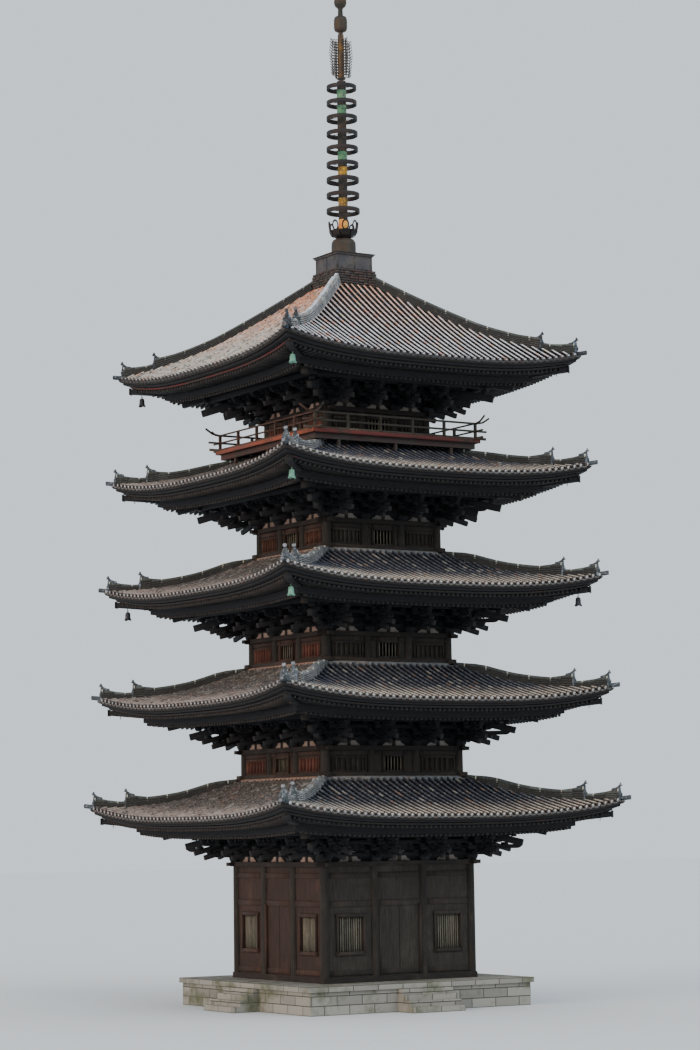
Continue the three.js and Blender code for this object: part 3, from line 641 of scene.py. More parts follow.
# The LEFT_ finishes (lit_ in their material names) and RED_BOARD go only on faces of the left side: lit
# copies of the finishes, with the warm light on that side painted into their colour.
TIMBER = wood("dark_timber", (20, 17, 15), (50, 42, 36), ALONG, (78, 68, 58), 0.34)
LEFT_TIMBER = wood("lit_timber", (27, 22, 19), (58, 45, 38), ALONG, (84, 65, 54), 0.36)
POST_WOOD = wood("post_timber", (20, 17, 15), (48, 42, 36), UPWARD, (74, 66, 56), 0.36)
# UNDER_TIMBER is near black and bluish: old dark wood with painted shade under the eaves.
UNDER_TIMBER = wood("eave_timber", (10, 10, 14), (23, 22, 26), (4, 4, 22), (48, 43, 41), 0.28)
RAFTER_WOOD = wood("rafter_timber", (18, 17, 18), (38, 35, 34), (4, 4, 22), (58, 52, 48), 0.3)
LEFT_RAFTER = wood("lit_rafter_timber", (28, 25, 24), (54, 47, 43), (4, 4, 22), (72, 62, 55), 0.32)
WALL_BOARD = wood("wall_boards", (36, 32, 28), (66, 60, 52), UPWARD, (86, 78, 68), 0.36)
LEFT_BOARD = wood("lit_wall_boards", (58, 38, 30), (98, 64, 49), UPWARD, (122, 84, 66), 0.36)
RED_BOARD = wood("red_wall_boards", (78, 49, 43), (118, 73, 62), UPWARD, (142, 94, 81), 0.36)
PANEL_WOOD = wood("panel_timber", (26, 22, 20), (54, 46, 40), UPWARD, (76, 66, 56), 0.3)
LEFT_PANEL = wood("lit_panel_timber", (38, 26, 22), (72, 48, 38), UPWARD, (96, 66, 52), 0.36)
RAFTER_END = wood("rafter_ends", (28, 27, 27), (44, 43, 41), (9, 9, 9))
BAR_PAINT = wood("window_bars", (74, 70, 60), (118, 112, 98), (20, 20, 4))
RAIL_WOOD = wood("railing_timber", (40, 36, 31), (78, 72, 62), ALONG, (104, 98, 86), 0.4)
LEFT_RAIL = wood("lit_railing_timber", (54, 38, 32), (98, 68, 55), ALONG, (124, 90, 73), 0.4)
FLAKED_RED = painted("flaked_red_paint", (100, 42, 38), (58, 42, 38), 0.5)
WORN_RED = painted("worn_red_paint", (72, 34, 30), (32, 28, 26), 0.36)
DECK_RED = painted("deck_paint", (56, 36, 33), (42, 35, 32), 0.5)
LEFT_DECK_RED = painted("lit_deck_paint", (72, 42, 35), (46, 34, 30), 0.5)
EDGE_RED = painted("deck_edge_paint", (94, 40, 37), (50, 36, 32), 0.55)
LEFT_EDGE_RED = painted("lit_deck_edge_paint", (142, 72, 50), (90, 52, 40), 0.55)
# PLASTER is greyed for the sides away from the warm light: painted shade over lime plaster with dirty
# patches.
PLASTER = lime("lime_plaster", (142, 134, 126), (92, 84, 78))
LEFT_PLASTER = lime("lit_lime_plaster", (176, 156, 144), (124, 96, 84))
# COLD and COLD_PAN, the colours near the wall on the lower roofs, are painted shade under the roof above.
COLD, COLD_PAN = (66, 74, 90), (30, 34, 42)
TOP_TILE = fired_clay("top_roof_tile", (214, 164, 136), (208, 208, 212), (226, 136, 90), (236, 237, 240),
                      0.33, 0.91, 0.55, 0.35)
# The strong specks of the two left-side roof tiles stand partly for painted shade between the tile rows.
LEFT_TOP_TILE = fired_clay("lit_top_roof_tile", (196, 132, 98), (172, 163, 152), (196, 124, 88),
                           (216, 213, 208), 0.36, 0.9, 0.3, 0.92, 0.7)
LOW_TILE = fired_clay("lower_roof_tile", COLD, (190, 180, 168), (150, 124, 108), (196, 194, 188), 0.26)
LEFT_LOW_TILE = fired_clay("lit_lower_roof_tile", (98, 93, 90), (172, 156, 146), (150, 116, 100),
                           (194, 188, 182), 0.36, specks=0.8, lichen=0.6)
# The flat tiles are much darker than the round ones: painted shade in the gaps between the rows of round
# tiles.
TOP_PAN = fired_clay("top_flat_tile", (30, 28, 30), (31, 31, 35), (66, 46, 38), (70, 70, 72))
LEFT_TOP_PAN = fired_clay("lit_top_flat_tile", (62, 46, 38), (52, 48, 45), (86, 60, 46), (96, 92, 88))
LOW_PAN = fired_clay("lower_flat_tile", COLD_PAN, (92, 86, 80), (100, 74, 60), (112, 110, 106))
LEFT_LOW_PAN = fired_clay("lit_lower_flat_tile", (42, 40, 42), (104, 92, 84), (104, 76, 62),
                          (120, 114, 110))
END_TILE = fired_clay("eave_end_tile", (120, 124, 130), (176, 175, 176), (140, 108, 90),
                      (216, 216, 218))
DARK_END = fired_clay("eave_flat_end", (44, 46, 50), (66, 64, 64), (92, 62, 50), (128, 126, 124))
RIDGE_TILE = even_clay("ridge_tile", (42, 44, 43), (58, 50, 44), (84, 88, 85))
RIDGE_GAP = even_clay("ridge_shadow_course", (25, 25, 24), (44, 36, 30), (54, 54, 50))
RIDGE_CAP = even_clay("ridge_cap_tile", (60, 65, 62), (78, 68, 58), (112, 122, 116))
RIDGE_JOINT = even_clay("ridge_joint", (172, 176, 166), (160, 150, 120), (214, 216, 210))
# BRIGHT_RIDGE, BRIGHT_GAP and GREY_RIDGE are lighter copies of the ridge finishes for the near front-left
# ridge: painted light, palest on its lit side.
BRIGHT_RIDGE = even_clay("bright_ridge_tile", (190, 200, 212), (200, 168, 146), (232, 234, 236))
BRIGHT_GAP = even_clay("bright_ridge_course", (82, 96, 116), (120, 104, 96), (160, 176, 194))
GREY_RIDGE = even_clay("grey_ridge_tile", (128, 130, 132), (146, 124, 106), (184, 184, 184))
ROOF_BED = lime("roof_bed", (44, 38, 34), (24, 22, 21))
MOSSY_CLAY = fired_clay("mossy_courses", (54, 46, 43), (54, 46, 43), (82, 50, 41), (96, 90, 82), 0.4, 0.85)
FLASHING = fired_clay("wall_flashing", (120, 122, 122), (150, 150, 146), (150, 120, 100), (188, 188, 184))
LEFT_FLASHING = fired_clay("lit_wall_flashing", (156, 124, 108), (176, 142, 124), (170, 110, 84),
                           (206, 188, 176))
DARK_ORNAMENT = patina("dark_ornament_tile", (24, 26, 28), (40, 45, 50), (104, 124, 146), 5.0,
                       metallic=0.1)
ORNAMENT_TILE = patina("ornament_tile", (42, 47, 50), (62, 70, 76), (134, 146, 158), 5.0, 0.5, 0.5, 0.15)
DARK_METAL = patina("dark_finial_metal", (50, 47, 43), (76, 62, 50), (40, 54, 52), 3.0)
RING_METAL = patina("ring_metal", (34, 33, 36), (56, 46, 42), (42, 46, 50), 2.2)
GREEN_METAL = patina("green_hub_metal", (44, 128, 86), (122, 148, 118), (50, 62, 54), 4.0, metallic=0.3)
GOLD_METAL = patina("golden_hub_metal", (190, 138, 44), (112, 84, 52), (206, 184, 60), 5.0, 0.5, 0.5, 0.4)
BRIGHT_GOLD = patina("bright_lotus_metal", (230, 134, 30), (240, 190, 90), (196, 96, 26), 5.0, 0.5, 0.45, 0.3)
POLE_METAL = patina("flame_pole_metal", (66, 54, 44), (142, 102, 44), (48, 52, 50), 4.0, 0.42, 0.6, 0.4)
BELL_METAL = patina("verdigris_bell", (112, 162, 142), (80, 122, 106), (54, 70, 64), 9.0, 0.42, 0.65, 0.1)
# DARK_BELL is the bell metal darkened for the bells other than the front-left one: painted shade.
DARK_BELL = patina("dark_bell", (54, 52, 56), (40, 42, 46), (84, 92, 94), 9.0, metallic=0.3)
SHEET_METAL = patina("grey_basin_sheet", (62, 60, 66), (82, 77, 73), (48, 46, 50), 2.6, metallic=0.2)
STONE = masonry()


# The CAD pieces that stay in view get their finishes
def dress(names, material, left_material=None):
    for name in names:
        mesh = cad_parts[name].data
        mesh.materials.clear()
        mesh.materials.append(material)
        if left_material:
            mesh.materials.append(left_material)
            use_left_finishes(mesh, 1)


dress([f"storey_{s.k}_frame" for s in STOREYS], TIMBER, LEFT_TIMBER)
dress([f"storey_{s.k}_walls" for s in STOREYS], WALL_BOARD, LEFT_PANEL)
dress(["right_door", "back_door", "front_door"], WALL_BOARD)
dress(["left_door"], LEFT_PANEL)
dress(["balcony_deck"], DECK_RED, LEFT_DECK_RED)
dress(["balcony_railing"], RAIL_WOOD, LEFT_RAIL)
dress(["central_pillar"], POST_WOOD)
dress(["podium"], STONE)
dress(["finial_basin"], SHEET_METAL)


# Roof tiles: rows of round tiles over flat tiles, from the eave up to the wall or the hip
ROUND_RADIUS, ROUND_LIFT, ROUND_LENGTH, ROUND_TAPER = 0.066, 0.03, 1.05, 0.86
PAN_WIDTH, PAN_DEPTH, PAN_LENGTH = ROW_PITCH - 0.1, 0.075, 1.1
FLANK_NORMAL, RIM_RADIUS = 0.75, 0.07
EDGE_MARGIN, SHORTEST_LINE = 0.12, 0.12
# Levels at the eave, falling towards the wall: the tile finish goes from its eave colour to its wall colour,
# which on the lower roofs is painted shade under the roof above.
TOP_WEAR, LOW_WALL_SHADE = (1.15, 1.1), (1.0, 2.1)  # at the eave, and what is lost up to the wall


def face_middles(shape):
    """The mean of the corners of each face."""
    counts = np.diff(np.append(shape.starts, len(shape.corners)))
    return np.add.reduceat(shape.points[shape.corners], shape.starts) / counts[:, None]


def round_tile():
    clear_selection()
    bpy.ops.mesh.primitive_cylinder_add(vertices=10, radius=ROUND_RADIUS, depth=ROUND_LENGTH,
                                        rotation=(0, QUARTER, 0), location=(ROUND_LENGTH / 2, 0, 0))
    obj = bpy.context.object
    apply_transform()
    start_edit(obj, faces=lambda f: True)
    bpy.ops.mesh.bisect(plane_co=(0, 0, -0.01), plane_no=(0, 0, 1), clear_inner=True)
    start_edit(obj, verts=lambda v: v.co.x > 0.5)
    bpy.ops.transform.resize(value=(1, ROUND_TAPER, ROUND_TAPER), center_override=(ROUND_LENGTH, 0, 0))
    start_edit(obj, faces=lambda f: f.normal.x > 0.9)
    bpy.ops.mesh.delete(type="FACE")
    clear_selection()
    # The steep flanks get finish 3: painted shade on the sides of the round tiles, except on the lit left
    # side.
    for face in obj.data.polygons:
        face.material_index = 3 if abs(face.normal.y) > FLANK_NORMAL else 0
    return taken(obj)


def pan_tile():
    clear_selection()
    bpy.ops.mesh.primitive_grid_add(x_subdivisions=1, y_subdivisions=3, size=1, location=(0.5, 0, 0))
    obj = bpy.context.object
    obj.scale = (PAN_LENGTH, PAN_WIDTH, 1)
    apply_transform()
    start_edit(obj, verts=lambda v: abs(v.co.y) > 0.3 * PAN_WIDTH)
    bpy.ops.transform.translate(value=(0, 0, 0.035))
    start_edit(obj, verts=lambda v: v.co.x < 0)
    bpy.ops.transform.translate(value=(0, 0, 0.028))
    extrude(0, 0, -0.03)
    return taken(obj)


def eave_disc():
    """The round end tile: a rim, a sunk field and a raised boss, facing -X."""
    profile = [(0, 0.012), (0.03, 0.012), (0.036, 0.0), (0.068, 0.0), (0.074, 0.016), (0.098, 0.016),
               (0.098, -0.07), (0.085, -0.1)]
    shape = rolled(turned_shape(profile, 10, closed=False), "Y", -QUARTER)
    outside = np.linalg.norm(face_middles(shape)[:, 1:], axis=1) > RIM_RADIUS
    shape.marks = np.where(outside, 2, 1)
    return shape


def pan_end():
    """The hanging front of a flat tile at the eave."""
    half = PAN_WIDTH / 2 + 0.02
    arc = [(half * t, 0.045 * t * t) for t in (-1, -0.5, 0, 0.5, 1)]
    outline = arc + [(x, z - 0.085) for x, z in reversed(arc)]
    return marked(rolled(plate_shape(outline, 0.03), "Z"), 1)


ROUND_TILE, PAN_TILE, EAVE_DISC, PAN_END = round_tile(), pan_tile(), eave_disc(), pan_end()


def tile_line(s, along, lift):
    """Places for the tiles of one line up the slope, with a level for each that falls from the eave
    towards the wall; on the lower roofs it sets the painted shade under the roof above.
    """
    top_half = s.roof_half + 0.05 if s.is_top else s.roof_half
    hip_half = abs(along) - EAVE_FLARE * s.curl(abs(along)) + 0.02
    start, end = s.eave_middle, max(top_half, hip_half)
    if start - end < SHORTEST_LINE:
        return [], []
    count = max(1, round((start - end) / TILE_LENGTH))
    halves = [start + (end - start) * i / count for i in range(count + 1)]
    line = [s.surface(half, along) + Vector((0, 0, lift)) for half in halves]
    at_eave, lost = TOP_WEAR if s.is_top else LOW_WALL_SHADE
    wear_and_shade_levels = [at_eave - lost * ((start - half) / (start - s.roof_half)) for half in halves[:-1]]
    return [span(low, high) for low, high in zip(line, line[1:])], wear_and_shade_levels


def tile_roof(s):
    rows = int((s.eave - EDGE_MARGIN) / ROW_PITCH)
    rounds, pans, discs, ends = [], [], [], []
    round_wear_and_shade, pan_wear_and_shade = [], []
    for i in range(-rows, rows + 1):
        along = i * ROW_PITCH
        places, wear_and_shade_levels = tile_line(s, along, ROUND_LIFT)
        rounds += places
        round_wear_and_shade += wear_and_shade_levels
        if places:
            head = places[0].to_translation()
            discs.append(Matrix.Translation(head + Vector((-0.01, 0, 0))) @ Matrix.Rotation(math.pi, 4, "Z"))
        places, wear_and_shade_levels = tile_line(s, along + ROW_PITCH / 2, -PAN_DEPTH)
        pans += places
        pan_wear_and_shade += wear_and_shade_levels
        if places:
            ends.append(Matrix.Translation(places[0].to_translation() + Vector((0, 0, 0.045))))
    finish, left_finish, pan, left_pan, end = LOW_TILE, LEFT_LOW_TILE, LOW_PAN, LEFT_LOW_PAN, END_TILE
    if s.is_top:
        finish, left_finish, pan, left_pan, end = TOP_TILE, LEFT_TOP_TILE, TOP_PAN, LEFT_TOP_PAN, DARK_END
    # Finish 3, on the flanks of the round tiles, is the dark flat-tile finish as painted shade; the left side
    # keeps its tile finish there.
    build(f"storey_{s.k}_round_tiles",
          [(ROUND_TILE, four_sides(rounds), np.tile(round_wear_and_shade, 4)),
           (EAVE_DISC, four_sides(discs), np.ones(4 * len(discs)))],
          [finish, end, DARK_END, pan], [left_finish, end, DARK_END, left_finish], smooth=50,
          hides=[f"storey_{s.k}_roof"])
    build(f"storey_{s.k}_flat_tiles",
          [(PAN_TILE, four_sides(pans), np.tile(pan_wear_and_shade, 4)),
           (PAN_END, four_sides(ends), np.ones(4 * len(ends)))], [pan, DARK_END], [left_pan, DARK_END])
    if not s.is_top:
        half, height = s.roof_half, s.roof_top
        foot = curved_ring(s, [(half - 0.05, height - 0.1), (half + 0.16, height - 0.12),
                               (half + 0.16, height + 0.1), (half + 0.04, height + 0.15),
                               (half - 0.05, height + 0.15)], 2)
        build(f"storey_{s.k}_wall_flashing", [foot], [FLASHING], [LEFT_FLASHING], tidy=True)


BED_STEPS, BED_THICK, BED_WALL, BED_EDGE = 8, 0.24, 0.26, 0.15


def roof_bed(s):
    """The boards and clay bed under the tiles, with the thick edge at the eave."""
    edge, inner = s.eave_middle, s.roof_half
    halves = [edge + (inner - edge) * i / BED_STEPS for i in range(BED_STEPS + 1)]
    top = [(half, s.height(half) - 0.01) for half in halves]
    under = [(half, s.height(half) - BED_WALL) for half in (inner, inner + 0.25)]
    under += [(half, s.height(half) - BED_THICK) for half in reversed(halves[1:-1])]
    front = [(edge - 0.4, s.height(edge - 0.4) - BED_EDGE), (edge - 0.06, s.edge - 0.1)]
    build(f"storey_{s.k}_roof_bed", [curved_ring(s, top + under + front)], [ROOF_BED], smooth=30, tidy=True)


# Hip ridges: flat tiles under a round one, an ornament at each end and a round tile at the corner
RIDGE_STEP, CAP_RADIUS, ORNAMENT = 0.47, 0.1, 0.5
MAIN_END, LOW_END, SWEEP_RUN = 1.85, 0.31, 0.9
MAIN_CREST, TOP_CREST, LOW_CREST = 0.49, 0.52, 0.36
MAIN_SWEEP, TOP_SWEEP, LOW_SWEEP = 0.18, 0.06, 0.17
WALL_CREST, WALL_RUN, DECK_CREST, DECK_RUN = 0.21, 1.2, 0.12, 2.6
HORN_PATH = ((-0.3, -0.06), (-0.12, -0.02), (0.02, 0.06), (0.1, 0.17))
HORN_RADIUS, HORN_TAPER, DISC_TILT = 0.075, 0.92, 0.5
HORN_FLARE, HORN_LIP = 1.5, 0.05
CORNER_TILE = ((-0.35, 0.07), (0.22, 0.13))
TOP_RIDGE_START, LOW_RIDGE_START = -0.15, 0.04
STACK_GAP, GAP_WIDTH = 0.4, 0.8
LIT_SHIFT, STACK_LIT, CAP_LIT = 4, -0.01, 0.045


def ridge_stack(layers, foot_width, top_width):
    """One length of ridge along +X and one high: courses of flat tiles with a shadow gap under each."""
    shapes = []
    for i in range(layers):
        width = foot_width + (top_width - foot_width) * i / (layers - 1)
        gap = cube((0.99, width * GAP_WIDTH, STACK_GAP / layers), (0.5, 0, (i + STACK_GAP / 2) / layers))
        shapes.append(marked(taken(gap), 1))
        course = cube((1.0, width, (1 - STACK_GAP) / layers), (0.5, 0, (i + 0.5 + STACK_GAP / 2) / layers))
        shapes.append(taken(course))
    return joined(*shapes)


def cap_tile():
    clear_selection()
    bpy.ops.mesh.primitive_cylinder_add(vertices=12, radius=CAP_RADIUS, depth=0.98,
                                        rotation=(0, QUARTER, 0), location=(0.5, 0, 0))
    return taken(bpy.context.object)


def lit_half(shape, limit):
    """A copy with the lit finishes on the faces that look to its -Y side."""
    copy = joined(shape)
    copy.marks = copy.marks + LIT_SHIFT * (face_middles(shape)[:, 1] < limit)
    return copy


def horn_tile():
    """The round tile that sweeps up over the end of a ridge and ends in a disc."""
    path = [Vector((x, 0, z)) for x, z in HORN_PATH]
    clear_selection()
    bpy.ops.mesh.primitive_circle_add(vertices=12, radius=HORN_RADIUS, fill_type="NGON",
                                      rotation=(0, QUARTER, 0), location=path[0])
    obj = bpy.context.object
    apply_transform()
    start_edit(obj, faces=lambda f: True)
    heading = 0.0

    def turn_end(new_heading, centre):
        bpy.ops.transform.rotate(value=new_heading - heading, orient_axis="Y", center_override=centre)
        return new_heading

    for low, high in zip(path, path[1:]):
        move = high - low
        extrude(*move)
        heading = turn_end(math.atan2(move.z, move.x), high)
        bpy.ops.transform.resize(value=(HORN_TAPER, HORN_TAPER, HORN_TAPER), center_override=high)
    heading = turn_end(DISC_TILT, path[-1])
    extrude(0, 0, 0)
    bpy.ops.transform.resize(value=(HORN_FLARE, HORN_FLARE, HORN_FLARE), center_override=path[-1])
    extrude(HORN_LIP * math.cos(heading), 0, HORN_LIP * math.sin(heading))
    bpy.ops.mesh.inset(thickness=0.025, depth=-0.012)
    face_outward()
    clear_selection()
    for face in obj.data.polygons:
        face.material_index = int(face.center.x > HORN_PATH[-1][0] + 0.01)
    return taken(obj)


def demon_tile(width, height):
    """The ridge-end plate: an arched crest between two scrolled feet, facing +X."""
    w, h = width / 2, height
    right = [(w, 0), (w * 1.12, h * 0.12), (w * 0.92, h * 0.28), (w * 0.78, h * 0.3), (w * 0.86, h * 0.5),
             (w * 0.72, h * 0.7), (w * 0.5, h * 0.74), (w * 0.42, h * 0.92), (0.12 * w, h)]
    outline = [(-x, z) for x, z in reversed(right)] + right
    plate = plate_shape(outline[::-1], 0.1, bevel=0.018)
    inner = plate_shape([(x * 0.62, h * 0.12 + z * 0.62) for x, z in outline[::-1]], 0.16, bevel=0.03)
    boss = turned_shape([(0, 0.06), (0.05, 0.05), (0.08, 0.0)], 10)
    return joined(rolled(plate, "Z"), rolled(inner, "Z"), rolled(boss, "Y", shift=(0.07, 0, h * 0.45)))


HORN, RIDGE_ORNAMENT, CORNER_TUBE = horn_tile(), demon_tile(0.44, ORNAMENT), cap_tile()
RIDGE_STACK, RIDGE_CAP_TILE = ridge_stack(5, 0.4, 0.32), marked(cap_tile(), 2)
JOINT_STRAP = marked(taken(cube((0.06, 0.26, 0.2))), 3)
LIT_SHOULDER = marked(taken(cube((0.98, 0.18, 0.04), (0.5, -0.1, 1.0))), LIT_SHIFT)
LIT_STACK = joined(lit_half(RIDGE_STACK, STACK_LIT), LIT_SHOULDER)
LIT_CAP_TILE = lit_half(RIDGE_CAP_TILE, CAP_LIT)


def ridge_crests(s):
    """Where the main and the lower ridge of a hip start and end, and their heights over the roof."""
    start = s.roof_half * ROOT2 + (TOP_RIDGE_START if s.is_top else LOW_RIDGE_START)
    main_end, low_end = s.tip_radius - MAIN_END, s.tip_radius - LOW_END
    crest, at_wall, run, rise = MAIN_CREST, WALL_CREST, WALL_RUN, MAIN_SWEEP
    if s.is_top:
        crest, at_wall, rise = TOP_CREST, TOP_CREST, TOP_SWEEP
    elif s.under_deck:
        at_wall, run = DECK_CREST, DECK_RUN

    def main_crest(radius):
        share = min(1.0, (radius - start) / run)
        return at_wall + (crest - at_wall) * share + rise * max(0.0, 1 - (main_end - radius) / SWEEP_RUN)

    def low_crest(radius):
        return LOW_CREST + LOW_SWEEP * max(0.0, 1 - (low_end - radius) / SWEEP_RUN)

    return (start, main_end, main_crest), (main_end - 0.1, low_end, low_crest)


def ridge_run(s, start, end, crest):
    """Places of the stacks, the round tiles and the joint straps of one ridge."""
    count = round((end - start) / RIDGE_STEP)
    radii = [start + (end - start) * i / count for i in range(count + 1)]
    feet = [s.hip(radius, 0.0) for radius in radii]
    tops = [s.hip(radius, crest(radius) - CAP_RADIUS) for radius in radii]
    stacks = []
    for a, b, over_a, over_b in zip(feet, feet[1:], tops, tops[1:]):
        level = (b.x - a.x) / (b - a).length
        stacks.append(span(a, b, 1.0, level * (over_a.z - a.z + over_b.z - b.z) / 2))
    caps = [span(a, b) for a, b in zip(tops, tops[1:])]
    straps = [place(spot.x, 0, spot.z - 0.01) for spot in tops[1::2]]
    return stacks, caps, straps


def ridges(s):
    lines = ridge_crests(s)
    runs = [ridge_run(s, *line) for line in lines]
    stacks, caps, straps = ([spot for run in runs for spot in run[i]] for i in range(3))
    dark = [RIDGE_TILE, RIDGE_GAP, RIDGE_CAP, RIDGE_JOINT]
    # The front-left ridge takes lighter finishes than the other hips as painted light: grey, and on the top
    # roof pale on its lit -Y side.
    lit = [BRIGHT_RIDGE, BRIGHT_GAP, BRIGHT_RIDGE] if s.is_top else [GREY_RIDGE, RIDGE_GAP, GREY_RIDGE]
    near = [GREY_RIDGE, RIDGE_GAP, GREY_RIDGE, RIDGE_JOINT] + lit
    for piece, corners, stack, cap, finishes in (
            ("hip_ridges", (0, 1, 3), RIDGE_STACK, RIDGE_CAP_TILE, dark),
            ("front_left_ridge", (2,), LIT_STACK, LIT_CAP_TILE, near)):
        turns = [Matrix.Rotation(QUARTER * corner, 4, "Z") @ CORNER_TURN for corner in corners]
        parts = [(shape, [turn @ spot for turn in turns for spot in places])
                 for shape, places in ((stack, stacks), (cap, caps), (JOINT_STRAP, straps))]
        build(f"storey_{s.k}_{piece}", parts, finishes, smooth=40)
    feet, crowns = [], []
    for _, end, crest in lines:
        foot = s.hip(end, 0.0)
        feet.append(place(end + 0.05, 0, foot.z, size=(1, 1, (crest(end) + 0.08) / ORNAMENT)))
        crowns.append(place(end, 0, foot.z + crest(end)))
    inside, outside = [Vector((s.tip_radius + along, 0, s.tip + up)) for along, up in CORNER_TILE]
    disc = Matrix.Translation(outside) @ Matrix.Rotation(math.pi, 4, "Z")
    build(f"storey_{s.k}_ridge_ornaments",
          [(RIDGE_ORNAMENT, four_corners(feet)), (HORN, four_corners(crowns)),
           (CORNER_TUBE, four_corners([span(inside, outside)])), (EAVE_DISC, four_corners([disc]))],
          [DARK_ORNAMENT, DARK_END, DARK_END] if s.is_top else [ORNAMENT_TILE, END_TILE, DARK_END], smooth=40)


# Eaves: two layers of rafters, boards over them, edge boards, hip rafters and bell hooks
RAFTER = beam(0.1, 0.12, 0.012, end_mark=1)
HIP_GAP, EDGE_GAP, RAFTER_ROOT, RAFTER_LAP = 0.12, 0.25, 0.25, 0.12
HALF_RAFTER = Vector((0, 0, 0.06))
FLYING_HEAD, BOARD_THICK, STEP_TOP, STEP_FOOT = 0.4, 0.08, 0.28, 0.68
HIP_INSET, HIP_DROP, HIP_ROOT_DROP, HIP_SLOPE = 0.6, 0.585, 0.8, 0.3
LOW_HIP_SHARE, LOW_HIP_DROP = 0.714, 1.3


def eave_timbers(s):
    base_end, fly_end = s.eave_middle - BASE_INSET, s.eave_middle - FLYING_INSET
    count = int((s.eave_middle - EDGE_GAP) / RAFTER_PITCH)
    base, flying = [], []
    for i in range(-count, count):
        along = (i + 0.5) * RAFTER_PITCH
        hip = abs(along) + HIP_GAP
        if hip < base_end:
            start = max(s.body - RAFTER_ROOT, hip)
            inside, outside = (s.at_line(half, s.rafter(half), along) + HALF_RAFTER
                               for half in (start, base_end))
            base.append(span(inside, outside))
        if hip < fly_end:
            start = max(base_end - RAFTER_LAP, hip)
            share = (start - base_end) / (fly_end - base_end)
            height = s.edge - FLYING_HEAD + share * (FLYING_HEAD - FLYING_DROP)
            inside = s.at_line(start, height, along) + HALF_RAFTER
            outside = s.at_line(fly_end, s.edge - FLYING_DROP, along) + HALF_RAFTER
            flying.append(span(inside, outside, 0.9, 0.95))
    build(f"storey_{s.k}_rafters", [(RAFTER, four_sides(base)), (RAFTER, four_sides(flying))],
          [RAFTER_WOOD, RAFTER_END],
          [RAFTER_WOOD if s.is_top else LEFT_RAFTER, LEFT_RAFTER], hides=[f"storey_{s.k}_eaves"])

    inner, lap, edge = s.body - 0.3, base_end - 0.14, s.eave_middle
    over = s.edge - FLYING_DROP + 0.12
    boards = [(fly_end + 0.02, over), (base_end, s.edge - STEP_TOP), (lap, s.edge - STEP_TOP),
              (lap, s.rafter(lap) + 0.12), (inner, s.rafter(inner) + 0.12), (inner, s.rafter(inner) + 0.2),
              (base_end - 0.1, s.edge - STEP_TOP + BOARD_THICK), (fly_end + 0.02, over + BOARD_THICK)]
    step_board = square_ring(s, base_end + 0.06, base_end - 0.1, s.edge - STEP_FOOT, s.edge - FLYING_HEAD)
    build(f"storey_{s.k}_eave_boards", [curved_ring(s, boards), step_board], [UNDER_TIMBER], smooth=30,
          tidy=True)
    lower = square_ring(s, fly_end + 0.08, fly_end - 0.1, s.edge - 0.3, s.edge - 0.23,
                        side_marks=(1, 1, 0 if s.is_top else 1, 1))
    upper = curved_ring(s, [(edge - 0.16, s.edge - 0.2), (edge - 0.16, s.edge - 0.06),
                            (edge - 0.5, s.edge - 0.02), (edge - 0.5, s.edge - 0.2)])
    build(f"storey_{s.k}_painted_edge_board", [lower], [FLAKED_RED, WORN_RED], smooth=30, tidy=True)
    build(f"storey_{s.k}_tile_board", [upper], [UNDER_TIMBER], smooth=30, tidy=True)
    if not s.is_top:
        outer = s.roof_half + 0.25
        ring = square_ring(s, outer, s.roof_half - 0.42, s.rafter(outer), s.height(outer) - 0.27, 2)
        build(f"storey_{s.k}_roof_frame", [ring], [UNDER_TIMBER], tidy=True)


def hip_timbers(s):
    """The two-stage hip rafter of each corner, capped at its ends, and the hook of the bell."""
    base_end = (s.eave_middle - BASE_INSET) * ROOT2
    upper_end, low_end = s.tip_radius - HIP_INSET, s.tip_radius * LOW_HIP_SHARE
    start, low_height = (s.body + 0.2) * ROOT2, s.tip - LOW_HIP_DROP
    flying = span(Vector((base_end - 0.3, 0, s.tip - HIP_ROOT_DROP)),
                  Vector((upper_end, 0, s.tip - HIP_DROP)))
    low = span(Vector((start, 0, low_height + HIP_SLOPE / ROOT2 * (low_end - start))),
               Vector((low_end, 0, low_height)))
    cap = taken(cube((0.05, 0.33, 0.3)))
    hook = turned_shape([(0.0, 0.0), (0.015, 0.0), (0.015, 0.17), (0.0, 0.17)], 8)
    eye = taken(torus_ring(0.03, 0.009, 20, 8))
    build(f"storey_{s.k}_hip_rafters",
          [(beam(0.3, 0.34, 0.02, end_mark=1), four_corners([low])),
           (beam(0.28, 0.24, 0.02, end_mark=1), four_corners([flying])),
           (cap, four_corners([place(upper_end, 0, s.tip - HIP_DROP)]))], [UNDER_TIMBER, TIMBER])
    pin = place(s.tip_radius - BELL_INSET, 0, s.tip - BELL_DROP)
    build(f"storey_{s.k}_bell_hooks",
          [(hook, four_corners([pin @ Matrix.Translation((0, 0.035, 0))])),
           (eye, four_corners([pin @ Matrix.Rotation(QUARTER, 4, "Y")]))], [DARK_METAL], smooth=40)


def torus_ring(radius, thick, around, section):
    clear_selection()
    bpy.ops.mesh.primitive_torus_add(major_radius=radius, minor_radius=thick, major_segments=around,
                                     minor_segments=section)
    return bpy.context.object


OUTWARD = Vector((1, 0, 0))


def upright_strip(x, y, low, high, width=1.0, height=1.0):
    return span(Vector((x, y, low)), Vector((x, y, high)), width, height, up=OUTWARD)


def level_strip(x, left, right, z, width=1.0, height=1.0):
    return span(Vector((x, left, z)), Vector((x, right, z)), width, height)


def spread(left, right, count):
    """Middles of equal shares of a width."""
    return [left + (right - left) * (i + 0.5) / count for i in range(count)]


